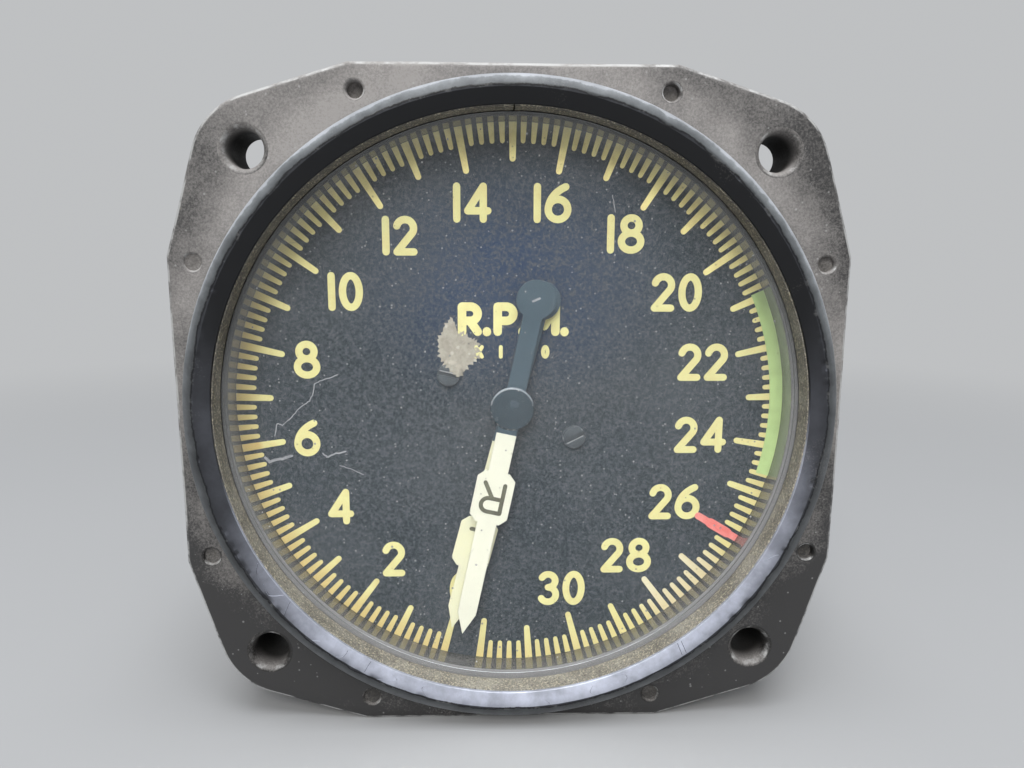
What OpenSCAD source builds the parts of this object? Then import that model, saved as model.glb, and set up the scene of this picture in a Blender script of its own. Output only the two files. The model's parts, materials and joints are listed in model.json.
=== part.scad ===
// Two-pointer aircraft tachometer for a round panel cut-out.
// The dial axis is Y: the face looks towards -Y, the barrel runs back along +Y, and +Z is up.
// The origin is on the dial axis, at the rear face of the mounting flange.

/* [Flange] */
// Width and height of the flange across its flats
flange_side = 82.55; // [80:0.05:90]
// Thickness of the flange
flange_t = 8; // [6:0.1:10]
// Length of the straight stretch in the middle of each side
flange_flat = 38.4; // [30:0.1:44]
// Angle at which each side falls away from its flat towards the corners
flange_slope = 17; // [10:0.5:24]
// Radius of the flange's corners
flange_corner_r = 9.1; // [6:0.1:11]
// Width of the broken edges of the flange
flange_break = 0.7; // [0.2:0.1:1.2]
// Distance of the mounting holes from the flats
bolt_inset = 9.84; // [9:0.01:10.5]
// Diameter of the mounting holes
bolt_hole_d = 4.4; // [3.6:0.1:5.4]
// Diameter of the countersinks of the mounting holes
bolt_sink_d = 5.9; // [5.6:0.1:7.4]
// Distance of the edge holes from their flats
edge_hole_inset = 3.175; // [2.8:0.005:3.4]
// Distance of the edge holes from the ends of their flats
edge_hole_margin = 0.8; // [0:0.1:4]
// Diameter of the edge holes
edge_hole_d = 1.9; // [1.2:0.1:2.4]
// Diameter of the countersinks of the edge holes
edge_sink_d = 2.6; // [2.5:0.1:3.2]

/* [Case] */
// How far the flats of the flange stand out from the barrel
barrel_step = 1.775; // [1.5:0.005:3]
// Length of the barrel behind the flange
barrel_len = 92; // [88:0.5:120]
// Wall of the barrel around the front bore
front_wall = 1.9; // [1.5:0.1:2.4]
// Depth of the movement's seat behind the flange's front face
seat_depth = 8.8; // [8.5:0.1:10]
// Width of the movement's seat
seat_w = 1.1; // [0.8:0.1:1.8]
// Wall of the threaded rim that carries the bezel
rim_wall = 0.65; // [0.5:0.05:1]
// Height of that rim in front of the flange
rim_h = 2; // [1:0.1:2]
// Thickness of the inner rim at the rear end of the barrel
rear_rim_t = 6; // [4:0.5:10]
// Width of that rear rim inside the bore
rear_rim_w = 3.5; // [2.5:0.1:5]
// Diameter of the screw bosses under the movement's seat
boss_d = 4.4; // [3.6:0.1:5]
// Length of those bosses
boss_len = 7; // [5.5:0.5:12]

/* [Bezel and glass] */
// Wall of the bezel's threaded skirt
bezel_wall = 1.3; // [0.6:0.05:1.6]
// Height of the bezel's crest in front of the flange
bezel_h = 3; // [2.8:0.1:5]
// Height of the bezel's outer shoulder in front of the flange
bezel_shoulder_h = 2.3; // [1.5:0.1:2.6]
// Radial width of the bezel's front face, from its outside to its crest
bezel_face_w = 1.6; // [1.2:0.1:2]
// Radial width of the rounding on each side of the crest's flat
bezel_round = 0.42; // [0.2:0.02:0.5]
// Radial width of the slope inside the crest
bezel_slope_w = 1.8; // [1.4:0.1:2.2]
// Height of the bezel's lip in front of the flange, where it holds the retaining ring
bezel_lip_h = 2.1; // [2:0.05:2.2]
// Straight land at the inner edge of the lip
bezel_land = 0.35; // [0.1:0.05:0.45]
// Radial wall of the retaining ring
retainer_wall = 1.35; // [1:0.05:2]
// Opening in the split retaining ring
retainer_split = 0.8; // [0.3:0.1:3]
// Clockwise angle from the right at which the retaining ring is split
retainer_split_at = 270; // [0:1:359]
// Thickness of the cover glass
glass_t = 2; // [1.5:0.1:3]
// Thickness of the gasket behind the glass
gasket_t = 0.4; // [0.3:0.1:0.6]
// Distance from the gasket to the dial, which is the height of the spacer ring
spacer_h = 2.5; // [2.4:0.1:4]
// Radial wall of the spacer ring and of the gasket
spacer_wall = 1.6; // [0.8:0.05:2]

/* [Dial] */
// Thickness of the dial plate
dial_t = 0.8; // [0.5:0.1:1.2]
// Hole in the dial for the pointer staffs
dial_hole_d = 4.4; // [4:0.1:5]
// Distance between the two dial screws
dial_screw_pitch = 18.4; // [14:0.1:24]
// Clockwise angle from the top at which the first dial screw stands
dial_screw_angle = 117; // [100:1:130]
// Diameter of the dial screws' heads
dial_head_d = 3; // [2.4:0.1:4]
// Height of the dial screws' heads
dial_head_h = 0.5; // [0.3:0.05:0.6]
// Diameter of the dial screws' shanks
dial_shank_d = 1.6; // [1.2:0.1:2]
// Reach of the dial screws behind the dial
dial_screw_reach = 2; // [1.2:0.1:2.4]

/* [Pointers] */
// Gap between the points of the pointers and the spacer ring
pointer_gap = 4.3; // [3:0.1:8]
// Thickness of the pointer blades
blade_t = 0.3; // [0.2:0.05:0.4]
// Width of the blades at the hub
blade_w = 2.6; // [2:0.1:3.2]
// Width of the blades where their points begin
blade_end_w = 2.5; // [1.6:0.1:2.8]
// Length of the pointed end
point_len = 3; // [2:0.1:6]
// Width of the flag on each blade
flag_w = 5; // [4:0.1:6]
// Length of the flag on each blade
flag_len = 7; // [4:0.1:8]
// Size of the flags' cut corners
flag_cut = 0.9; // [0.2:0.1:1.2]
// Where the flag of the right pointer begins
right_flag_at = 8.6; // [7:0.1:9]
// Where the flag of the left pointer begins
left_flag_at = 15.6; // [14:0.1:16]
// Reach of the tails to the middle of their discs
tail_len = 14.2; // [10:0.1:18]
// Width of the tails
tail_w = 2.4; // [1.6:0.1:3.2]
// Diameter of the discs at the ends of the tails
tail_disc_d = 5; // [4:0.1:7]
// Diameter of the right pointer's hub
right_hub_d = 5.7; // [4.6:0.1:7]
// Height of the right pointer's hub
right_hub_h = 0.8; // [0.6:0.05:0.9]
// Diameter of the left pointer's hub
left_hub_d = 4.8; // [4.6:0.1:7]
// Height of the left pointer's hub
left_hub_h = 0.95; // [0.6:0.05:1]
// Gap between the left pointer's hub and the dial
hub_lift = 0.5; // [0.4:0.05:0.7]
// Gap between the two hubs
hub_gap = 0.15; // [0.1:0.05:0.25]
// Clockwise angle from the top at which the right pointer rests
right_rest_angle = 192.1; // [180:0.1:200]
// Clockwise angle from the top at which the left pointer rests
left_rest_angle = 194.8; // [180:0.1:200]

/* [Movement] */
// Thickness of the front plate
front_plate_t = 2.5; // [2.3:0.1:3]
// Thickness of the other three plates
plate_t = 2; // [1.5:0.1:3]
// Diameter of the tie rods
tie_d = 2; // [1.6:0.1:2.6]
// Diameter of the pillars
pillar_d = 5; // [4:0.1:6]
// Distance of the tie rods from the upright middle plane
tie_x = 9; // [7:0.1:11]
// Distance of the tie rods from the top and bottom of the bore
tie_inset = 7.5; // [7:0.1:9]
// Diameter of the tie rods' heads
tie_head_d = 4; // [3.4:0.1:4.6]
// Height of the tie rods' heads
tie_head_h = 1.2; // [0.8:0.1:1.6]
// Width across the corners of the tie rods' nuts
tie_nut_d = 5; // [4.2:0.1:5.6]
// Height of the tie rods' nuts
tie_nut_h = 2; // [1.5:0.1:3]
// Length of the tie rods beyond their nuts
tie_over = 0.2; // [0.1:0.1:1]
// Diameter of the screws that hold the movement on its seat
seat_screw_d = 1.8; // [1.4:0.1:2]
// Diameter of those screws' heads
seat_head_d = 3.4; // [2.8:0.1:3.8]
// Height of those screws' heads
seat_head_h = 1; // [0.6:0.1:1.4]
// Reach of those screws into their bosses
seat_screw_reach = 5; // [3:0.1:5.2]

/* [Gears and staffs] */
// How far each drag axis lies inside the middle of the bore's radius
axis_inset = 0.25; // [0:0.05:0.6]
// Teeth on each drag gear
gear_teeth = 48; // [40:2:52]
// Teeth on each pointer pinion
pinion_teeth = 24; // [22:2:28]
// Play between meshing teeth along the pitch circle
gear_play = 0.1; // [0.06:0.01:0.14]
// Width of the drag gears
gear_t = 1.6; // [1:0.1:1.8]
// Width of the pinions
pinion_t = 2; // [1.8:0.1:2.6]
// Gap between the front plate and the first pair of gears
gear_lift = 0.9; // [0.7:0.1:1.5]
// Gap between the two pairs of gears
gear_level_gap = 1.2; // [0.8:0.1:2]
// Diameter of the solid staff that carries the right pointer
inner_staff_d = 1.6; // [1.2:0.1:2]
// Wall of the hollow staff that carries the left pointer
hollow_wall = 0.75; // [0.5:0.05:0.8]
// Diameter of the drag staffs
drag_staff_d = 1.6; // [1.2:0.1:2]
// Wall of the staff bushes
bush_wall = 1.2; // [0.8:0.1:1.6]
// Diameter of the collets that hold the hairsprings
collet_d = 3.2; // [2.8:0.1:4]
// Length of those collets
collet_len = 1.4; // [1:0.1:2]
// How far the hairsprings stay inside the pitch circles of the drag gears
spring_inset = 4.5; // [3:0.1:6]
// Turns of each hairspring
spring_turns = 5; // [3:1:6]
// Thickness of the hairspring strip
spring_t = 0.25; // [0.15:0.05:0.3]
// Width of the hairspring strip
spring_w = 0.6; // [0.4:0.1:1]
// Diameter of the studs that hold the hairsprings
stud_d = 1.2; // [0.8:0.1:1.6]
// Gap on each side of the collets along their staffs
collet_gap = 0.6; // [0.4:0.1:1]

/* [Drag cups and motors] */
// How far the keepers around the drag cups stay inside the outline of the motor cans
keeper_inset = 3.2; // [2:0.1:4]
// Length of the drag magnets
magnet_len = 6.5; // [5:0.1:8]
// Air gap on each side of a drag cup
cup_gap = 0.5; // [0.4:0.05:0.7]
// Wall of the drag cups
cup_wall = 0.5; // [0.3:0.05:0.7]
// Gap in front of and inside the web of a drag cup
cup_end_gap = 1; // [0.6:0.1:2]
// Radial wall of the keepers around the cups
keeper_wall = 2; // [1.4:0.1:2.4]
// Thickness of the keepers' webs
keeper_web = 1.6; // [1:0.1:2.4]
// Gap between the keepers and the motor plate
keeper_gap = 2; // [1:0.1:4]
// Length of the motor cans
motor_len = 44; // [36:0.5:48]
// Gap between each motor can and what lies beside it
can_gap = 1.1; // [0.6:0.1:2]
// Wall of the motor cans
can_wall = 0.8; // [0.5:0.1:1.2]
// Length of the stator stacks
stack_len = 28; // [20:0.5:30]
// Count of slots in a stator
stator_slots = 12; // [6:6:12]
// Depth of the stator slots, as a share of the motor cans' radius
slot_depth_part = 0.236; // [0.18:0.002:0.26]
// Width of the stator slots, as a share of their spacing
slot_width_part = 0.45; // [0.3:0.01:0.5]
// Width of the stator slots' mouths at the bore
slot_mouth_w = 0.7; // [0.4:0.1:1]
// Length of the winding's end turns beyond the stack
end_turn = 5; // [3:0.1:6]
// Radius of the rotors, as a share of the motor cans' radius
rotor_part = 0.515; // [0.45:0.005:0.54]
// Air gap between rotor and stator
rotor_gap = 0.3; // [0.2:0.05:0.5]
// Length by which a rotor is longer than its stack, at each end
rotor_over = 2; // [0:0.1:3]
// Diameter of the rotor shafts
shaft_d = 3; // [2:0.1:4]
// Wall of the motor bushes
motor_bush_wall = 1.7; // [1:0.1:2.4]
// Length of the motor bushes
motor_bush_len = 3.5; // [3:0.1:4.5]

/* [Rear cover and receptacles] */
// Thickness of the rear cover
cover_t = 2.5; // [2:0.1:4]
// Thickness of the rear cover's gasket
cover_gasket_t = 0.8; // [0.4:0.1:1.2]
// Count of rear cover screws
cover_screws = 6; // [4:1:8]
// Diameter of the rear cover screws' shanks
cover_shank_d = 2.4; // [1.8:0.1:2.8]
// Diameter of the rear cover screws' heads
cover_head_d = 4.4; // [3.6:0.1:5]
// Height of the rear cover screws' heads
cover_head_h = 1.6; // [1:0.1:2]
// Reach of the rear cover screws into the rear rim
cover_screw_reach = 4; // [2:0.1:5]
// Distance of each receptacle from the upright middle plane
socket_x = 16.5; // [15:0.1:17]
// Side of the receptacles' square flanges
socket_flange = 22; // [20:0.1:24]
// Thickness of the receptacles' flanges
socket_flange_t = 2; // [1.5:0.1:3]
// Thickness of the receptacles' gaskets
socket_gasket_t = 0.6; // [0.4:0.1:1]
// Outer diameter of the receptacle shells
socket_d = 15.8; // [15:0.1:17]
// Wall of the receptacle shells
socket_wall = 1.4; // [1:0.1:1.8]
// Length of a receptacle behind its flange
socket_len = 10; // [8:0.1:16]
// Length of a receptacle inside the cover
socket_back = 6; // [4:0.1:9]
// Depth of the space for the mating plug
socket_depth = 8; // [6:0.1:9]
// Pins in each receptacle
pin_count = 3; // [2:1:4]
// Diameter of the pins
pin_d = 1.6; // [1:0.1:2]
// Radius of the circle of pins
pin_circle_r = 4.2; // [4:0.1:4.6]
// How far the pins stay behind the mouth of the shell
pin_inset = 2; // [1:0.1:4]
// Length of the solder ends inside the cover
pin_tail = 2; // [1:0.1:4]
// Spacing of the receptacles' screws
socket_screw_pitch = 17; // [16:0.1:18]
// Diameter of the receptacles' screw shanks
socket_shank_d = 2; // [1.6:0.1:2.4]
// Diameter of the receptacles' screw heads
socket_head_d = 3.6; // [3:0.1:4]
// Height of the receptacles' screw heads
socket_head_h = 1.3; // [0.8:0.1:2]
// Diameter of the motor leads
lead_d = 1.1; // [0.6:0.1:1.4]
// Radius of the circle in which a motor's leads leave its end turns
lead_ring_r = 1; // [0.9:0.05:1.1]
// Diameter of the holes in the rear plate for the leads
lead_hole_d = 5; // [4:0.1:6]

/* [Fits] */
// Radial gap of a shaft that turns in its bush
run_gap = 0.04; // [0.02:0.01:0.08]
// Radial gap of a piece that is pressed or screwed home
seat_gap = 0.02; // [0.01:0.01:0.05]
// Radial gap around the rings and discs stacked in the front bore
stack_gap = 0.2; // [0.1:0.05:0.4]
// Radial gap around the rear plates, the cover and the receptacles
plate_gap = 0.6; // [0.3:0.1:1]

/* [Hidden] */
$fn = 96;
// Overlap that keeps a cut clear of the face it goes through
cut = 0.1;
// Pressure angle of the gear teeth
pressure = 20;
// Root depth of a gear tooth, in modules
dedendum = 1.25;
// Straight steps along each tooth flank
flank_steps = 4;
// Straight steps in each turn of a hairspring
spring_steps = 24;
// Share of a screw head's diameter that its slot is wide, and of its height that the slot is deep
slot_share = 0.2;
slot_depth_share = 0.5;
// Counts around the circle of a drag gear's holes and a drag magnet's notches
gear_holes = 4;
magnet_poles = 6;
// Sides of a motor lead
lead_sides = 8;

// Radii from the axis outwards
flange_half = flange_side / 2;
barrel_r = flange_half - barrel_step;
bore_r = barrel_r - front_wall;
stack_r = bore_r - stack_gap;
inner_r = bore_r - seat_w;
rim_r = bore_r + rim_wall;
bezel_skirt_r = rim_r + seat_gap;
bezel_r = bezel_skirt_r + bezel_wall;
crest_r = bezel_r - bezel_face_w;
lip_r = crest_r - bezel_slope_w;
retainer_r = stack_r - retainer_wall;
spacer_r = stack_r - spacer_wall;
pointer_len = spacer_r - pointer_gap;
plate_r = inner_r - plate_gap;
tie_z = inner_r - tie_inset;
boss_ring_r = inner_r - boss_d / 2 + plate_gap;
plate_flat = boss_ring_r - boss_d / 2 - plate_gap;
rear_rim_r = inner_r - rear_rim_w;
cover_r = barrel_r - plate_gap / 2;
cover_screw_ring = (rear_rim_r + barrel_r) / 2;

// Places along Y, from the face backwards
flange_y = -flange_t;
seat_y = flange_y + seat_depth;
front_plate_y = seat_y - front_plate_t;
dial_y = front_plate_y - dial_t;
spacer_y = dial_y - spacer_h;
gasket_y = spacer_y - gasket_t;
glass_y = gasket_y - glass_t;
lip_y = flange_y - bezel_lip_h;
retainer_h = glass_y - lip_y;
left_hub_y = dial_y - hub_lift - left_hub_h;
right_hub_y = left_hub_y - hub_gap - right_hub_h;
left_pinion_y = seat_y + gear_lift;
right_pinion_y = left_pinion_y + pinion_t + gear_level_gap;
collet_y = right_pinion_y + pinion_t + collet_gap;
middle_plate_y = collet_y + collet_len + collet_gap;
cup_y = middle_plate_y + plate_t + cup_end_gap;
magnet_y = cup_y + cup_wall + cup_end_gap;
keeper_y = magnet_y + magnet_len;
motor_plate_y = keeper_y + keeper_web + keeper_gap;
can_y = motor_plate_y + plate_t;
stack_y = can_y + (motor_len - stack_len) / 2;
rear_plate_y = can_y + motor_len;
movement_end = rear_plate_y + plate_t;
cover_gasket_y = barrel_len;
cover_y = cover_gasket_y + cover_gasket_t;
socket_gasket_y = cover_y + cover_t;
socket_y = socket_gasket_y + socket_gasket_t;
socket_mouth = socket_y + socket_flange_t + socket_len;
insert_y = cover_y - socket_back;
insert_len = socket_mouth - socket_depth - insert_y;
pin_y = insert_y - pin_tail;

// Radii of the movement
axis_x = inner_r / 2 - axis_inset;
gear_module = 2 * axis_x / (gear_teeth + pinion_teeth);
inner_staff_r = inner_staff_d / 2;
hollow_bore_r = inner_staff_r + run_gap;
hollow_r = hollow_bore_r + hollow_wall;
drag_staff_r = drag_staff_d / 2;
can_r = axis_x - can_gap;
keeper_r = can_r - keeper_inset;
keeper_bore_r = keeper_r - keeper_wall;
cup_r = keeper_bore_r - cup_gap;
cup_bore_r = cup_r - cup_wall;
magnet_r = cup_bore_r - cup_gap;
rotor_r = rotor_part * can_r;
slot_depth = slot_depth_part * can_r;
stator_r = can_r - can_wall - seat_gap;
stator_bore_r = rotor_r + rotor_gap;
slot_in_r = stator_bore_r + rotor_gap;
slot_w = slot_width_part * 2 * PI * slot_in_r / stator_slots;
winding_in_r = slot_in_r + rotor_gap;
winding_out_r = slot_in_r + slot_depth - rotor_gap;
lead_z = (winding_in_r + winding_out_r) / 2;
shaft_r = shaft_d / 2;
socket_r = socket_d / 2;
insert_r = socket_r - socket_wall;
spring_in_r = collet_d / 2 + spring_t / 2 + run_gap;
spring_r = gear_module * gear_teeth / 2 - spring_inset;

// Flange outline: the corner arcs are tangent to the sloping sides
corner_c = (sin(flange_slope) * flange_flat / 2 + cos(flange_slope) * flange_half - flange_corner_r)
    / (sin(flange_slope) + cos(flange_slope));
slope_reach = (sin(flange_slope) + cos(flange_slope)) * corner_c + flange_corner_r;
bolt_at = flange_half - bolt_inset;
edge_hole_at = flange_half - edge_hole_inset;
edge_hole_along = flange_flat / 2 - edge_hole_margin;

// Stands a shape drawn upright on Z along +Y, with its foot at the given point
module along(y, x = 0, z = 0) {
    translate([x, y, z])
        rotate([-90, 0, 0])
            children();
}

// A round tube that stands on Z
module tube(h, outer, bore) {
    difference() {
        cylinder(h = h, r = outer);
        translate([0, 0, -cut])
            cylinder(h = h + 2 * cut, r = bore);
    }
}

// A hole through a plate that starts at Z zero
module drill(h, d) {
    translate([0, 0, -cut])
        cylinder(h = h + 2 * cut, d = d);
}

// Repeats a shape at the four corners of a rectangle
module corners(dx, dy) {
    for (sx = [-1, 1], sy = [-1, 1])
        translate([sx * dx, sy * dy, 0])
            children();
}

// Repeats a shape on both sides of the upright middle plane
module both(x) {
    for (side = [-1, 1])
        translate([side * x, 0, 0])
            children();
}

// A slotted screw whose head looks towards -Z and whose shank points to +Z
module screw(head_d, head_h, shank_d, reach) {
    difference() {
        translate([0, 0, -head_h])
            cylinder(h = head_h, d = head_d);
        translate([-head_d, -slot_share * head_d / 2, -head_h - cut])
            cube([2 * head_d, slot_share * head_d, slot_depth_share * head_h + cut]);
    }
    cylinder(h = reach, d = shank_d);
}

// Outline of the flange, one quarter after the other: a flat, two sloping sides and a round corner
module flange_outline() {
    lean = flange_corner_r * sin(flange_slope);
    rise = flange_corner_r * cos(flange_slope);
    for (turn = [0, 90, 180, 270])
        rotate(turn) {
            polygon([
                [0, 0],
                [flange_half, -flange_flat / 2],
                [flange_half, flange_flat / 2],
                [corner_c + rise, corner_c + lean],
                [corner_c + lean, corner_c + rise]
            ]);
            polygon([
                [0, 0],
                [corner_c + lean, corner_c + rise],
                [flange_flat / 2, flange_half]
            ]);
            translate([corner_c, corner_c])
                circle(r = flange_corner_r);
        }
}

// Breaks the edge of the flange that lies on Z zero
module flange_edge_cut() {
    side = flange_break * sqrt(2);
    for (turn = [0, 90, 180, 270])
        rotate(turn) {
            for (lean = [-flange_slope, 0, flange_slope])
                rotate(lean)
                    translate([lean == 0 ? flange_half : slope_reach, 0, 0])
                        rotate([0, 45, 0])
                            cube([side, flange_side, side], center = true);
            translate([corner_c, corner_c, 0])
                rotate(flange_slope)
                    rotate_extrude(angle = 90 - 2 * flange_slope)
                        translate([flange_corner_r, 0])
                            rotate(45)
                                square(side, center = true);
        }
}

// A countersunk hole through the flange, with its sink on Z zero
module sunk_hole(d, sink_d) {
    drill(flange_t, d);
    sink = (sink_d - d) / 2;
    translate([0, 0, -cut])
        cylinder(h = sink + cut, d1 = sink_d + 2 * cut, d2 = d);
}

// Repeats a shape at the four screws of the movement's seat
module seat_places() {
    for (turn = [45:90:315])
        rotate(turn)
            translate([boss_ring_r, 0, 0])
                children();
}

module flanged_case() {
    color("#2b2a28")
        difference() {
            union() {
                along(flange_y)
                    difference() {
                        linear_extrude(height = flange_t)
                            flange_outline();
                        flange_edge_cut();
                        translate([0, 0, flange_t])
                            flange_edge_cut();
                    }
                along(flange_y - rim_h)
                    cylinder(h = rim_h + flange_t + barrel_len, r = rim_r);
                along(0)
                    cylinder(h = barrel_len, r = barrel_r);
            }
            along(flange_y - rim_h - cut)
                cylinder(h = rim_h + seat_depth + cut, r = bore_r);
            difference() {
                along(seat_y - cut)
                    cylinder(h = barrel_len - seat_y - rear_rim_t + cut, r = inner_r);
                along(seat_y)
                    seat_places()
                        cylinder(h = boss_len, d = boss_d);
            }
            along(seat_y - cut)
                seat_places()
                    cylinder(h = seat_screw_reach + 2 * cut, d = seat_screw_d + 2 * seat_gap);
            along(barrel_len - rear_rim_t - cut)
                cylinder(h = rear_rim_t + 2 * cut, r = rear_rim_r);
            along(barrel_len - cover_screw_reach - cut)
                cover_screw_places()
                    cylinder(h = cover_screw_reach + 2 * cut, d = cover_shank_d + 2 * seat_gap);
            along(flange_y) {
                corners(bolt_at, bolt_at)
                    sunk_hole(bolt_hole_d, bolt_sink_d);
                corners(edge_hole_at, edge_hole_along)
                    sunk_hole(edge_hole_d, edge_sink_d);
                corners(edge_hole_along, edge_hole_at)
                    sunk_hole(edge_hole_d, edge_sink_d);
            }
        }
}

module bezel_ring() {
    brow_h = (bezel_shoulder_h + 2 * bezel_h) / 3;
    crest_drop = bezel_round / 4;
    color("#23262b")
        along(flange_y)
            rotate_extrude()
                polygon([
                    [bezel_skirt_r, 0],
                    [bezel_r, 0],
                    [bezel_r, -bezel_shoulder_h],
                    [bezel_r - bezel_round, -brow_h],
                    [crest_r + bezel_round, -bezel_h],
                    [crest_r, crest_drop - bezel_h],
                    [lip_r, -bezel_lip_h - bezel_land],
                    [lip_r, -bezel_lip_h],
                    [bezel_skirt_r, -bezel_lip_h]
                ]);
}

module retaining_ring() {
    color("#6b5a45")
        along(lip_y)
            difference() {
                tube(retainer_h, stack_r, retainer_r);
                rotate(retainer_split_at)
                    translate([0, -retainer_split / 2, -cut])
                        cube([barrel_r, retainer_split, retainer_h + 2 * cut]);
            }
}

module cover_glass() {
    color("#dfe8ea", 0.3)
        along(glass_y)
            cylinder(h = glass_t, r = stack_r);
}

module glass_gasket() {
    color("#161616")
        along(gasket_y)
            tube(gasket_t, stack_r, spacer_r);
}

module spacer_ring() {
    color("#1a1b1d")
        along(spacer_y)
            tube(spacer_h, stack_r, spacer_r);
}

// Puts a shape at both dial screws, seen from the front
module dial_screw_places() {
    for (turn = [0, 180])
        rotate(dial_screw_angle - 90 + turn)
            translate([dial_screw_pitch / 2, 0, 0])
                children();
}

module dial_plate() {
    color("#20242b")
        along(dial_y)
            difference() {
                cylinder(h = dial_t, r = stack_r);
                drill(dial_t, dial_hole_d);
                dial_screw_places()
                    drill(dial_t, dial_shank_d + 2 * seat_gap);
            }
}

module dial_screws() {
    color("#15161a")
        along(dial_y)
            dial_screw_places()
                screw(dial_head_d, dial_head_h, dial_shank_d, dial_screw_reach);
}

// Outline of a pointer that lies along +X
module pointer_outline(flag_at) {
    half = blade_w / 2;
    end_half = blade_end_w / 2;
    flag_half = flag_w / 2;
    flag_end = flag_at + flag_len;
    upper = [
        [0, half],
        [flag_at, half],
        [flag_at, flag_half - flag_cut],
        [flag_at + flag_cut, flag_half],
        [flag_end - flag_cut, flag_half],
        [flag_end, flag_half - flag_cut],
        [flag_end, half],
        [pointer_len - point_len, end_half],
        [pointer_len, 0]
    ];
    last = len(upper) - 2;
    polygon(concat(upper, [for (i = [last:-1:0]) [upper[i].x, -upper[i].y]]));
    translate([-tail_len, -tail_w / 2])
        square([tail_len, tail_w]);
    translate([-tail_len, 0])
        circle(d = tail_disc_d);
}

// A pointer on its hub, turned clockwise from the top
module pointer(hub_y, hub_h, hub_d, bore_r, flag_at, rest_angle) {
    along(hub_y)
        rotate(rest_angle - 90)
            difference() {
                union() {
                    cylinder(h = hub_h, d = hub_d);
                    translate([0, 0, (hub_h - blade_t) / 2])
                        linear_extrude(height = blade_t)
                            pointer_outline(flag_at);
                }
                drill(hub_h, 2 * bore_r);
            }
}

module right_pointer() {
    bore_r = inner_staff_r + seat_gap;
    color("#efe9cf")
        pointer(right_hub_y, right_hub_h, right_hub_d, bore_r, right_flag_at, right_rest_angle);
}

module left_pointer() {
    bore_r = hollow_r + seat_gap;
    color("#e6dfbd")
        pointer(left_hub_y, left_hub_h, left_hub_d, bore_r, left_flag_at, left_rest_angle);
}

// Repeats a shape at the four tie rods
module tie_places() {
    corners(tie_x, tie_z)
        children();
}

module front_plate() {
    color("#b59a5b")
        along(front_plate_y)
            difference() {
                cylinder(h = front_plate_t, r = stack_r);
                drill(front_plate_t, 2 * (hollow_r + run_gap + bush_wall + seat_gap));
                both(axis_x)
                    drill(front_plate_t, 2 * (drag_staff_r + run_gap + bush_wall + seat_gap));
                dial_screw_places()
                    drill(front_plate_t, dial_shank_d + 2 * seat_gap);
                tie_places() {
                    drill(front_plate_t, tie_d + 2 * seat_gap);
                    translate([0, 0, -cut])
                        cylinder(h = tie_head_h + cut, d = tie_head_d + 2 * stack_gap);
                }
                seat_places() {
                    drill(front_plate_t, seat_screw_d + 2 * seat_gap);
                    translate([0, 0, -cut])
                        cylinder(h = seat_head_h + cut, d = seat_head_d + 2 * stack_gap);
                }
            }
}

// A plate behind the dial, cut away at the case's screw bosses, with its tie rod holes
module movement_plate(y) {
    color("#b59a5b")
        along(y)
            difference() {
                intersection() {
                    cylinder(h = plate_t, r = plate_r);
                    rotate(45)
                        translate([-plate_flat, -plate_flat, 0])
                            cube([2 * plate_flat, 2 * plate_flat, plate_t]);
                }
                tie_places()
                    drill(plate_t, tie_d + 2 * seat_gap);
                children();
            }
}

module middle_plate() {
    bush_d = 2 * (drag_staff_r + run_gap + bush_wall + seat_gap);
    movement_plate(middle_plate_y) {
        drill(plate_t, 2 * (inner_staff_r + run_gap + bush_wall + seat_gap));
        both(axis_x)
            drill(plate_t, bush_d);
        both(axis_x + spring_r)
            drill(plate_t, stud_d + 2 * seat_gap);
    }
}

module motor_plate() {
    movement_plate(motor_plate_y)
        both(axis_x)
            drill(plate_t, 2 * (shaft_r + run_gap + motor_bush_wall + seat_gap));
}

module rear_plate() {
    movement_plate(rear_plate_y) {
        both(axis_x)
            drill(plate_t, 2 * (shaft_r + run_gap + motor_bush_wall + seat_gap));
        translate([0, -lead_z, 0])
            both(axis_x)
                drill(plate_t, lead_hole_d);
    }
}

// Four pillars between two plates
module pillars(y, h) {
    color("#c9b06e")
        along(y)
            tie_places()
                tube(h, pillar_d / 2, tie_d / 2 + seat_gap);
}

module front_pillars() {
    pillars(seat_y, middle_plate_y - seat_y);
}

module middle_pillars() {
    pillars(middle_plate_y + plate_t, motor_plate_y - middle_plate_y - plate_t);
}

module rear_pillars() {
    pillars(can_y, motor_len);
}

module tie_rods() {
    head_y = front_plate_y + tie_head_h;
    color("#9aa0a3")
        along(head_y)
            tie_places()
                screw(tie_head_d, tie_head_h, tie_d, movement_end + tie_nut_h + tie_over - head_y);
}

module tie_rod_nuts() {
    color("#8f9497")
        along(movement_end)
            tie_places()
                difference() {
                    cylinder(h = tie_nut_h, d = tie_nut_d, $fn = 6);
                    drill(tie_nut_h, tie_d + 2 * seat_gap);
                }
}

module seat_screws() {
    color("#9aa0a3")
        along(front_plate_y + seat_head_h)
            seat_places()
                screw(seat_head_d, seat_head_h, seat_screw_d,
                    front_plate_t - seat_head_h + seat_screw_reach);
}

// Angle by which the involute of a circle has turned where its pressure angle is the given one
function involute(angle) = tan(angle) * 180 / PI - angle;

// Half the angle that a tooth covers at radius r
function tooth_half(r, pitch_r, base_r) =
    (PI * gear_module / 2 - gear_play / 2) / (2 * pitch_r) * 180 / PI
    + involute(pressure) - involute(acos(base_r / max(r, base_r)));

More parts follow.
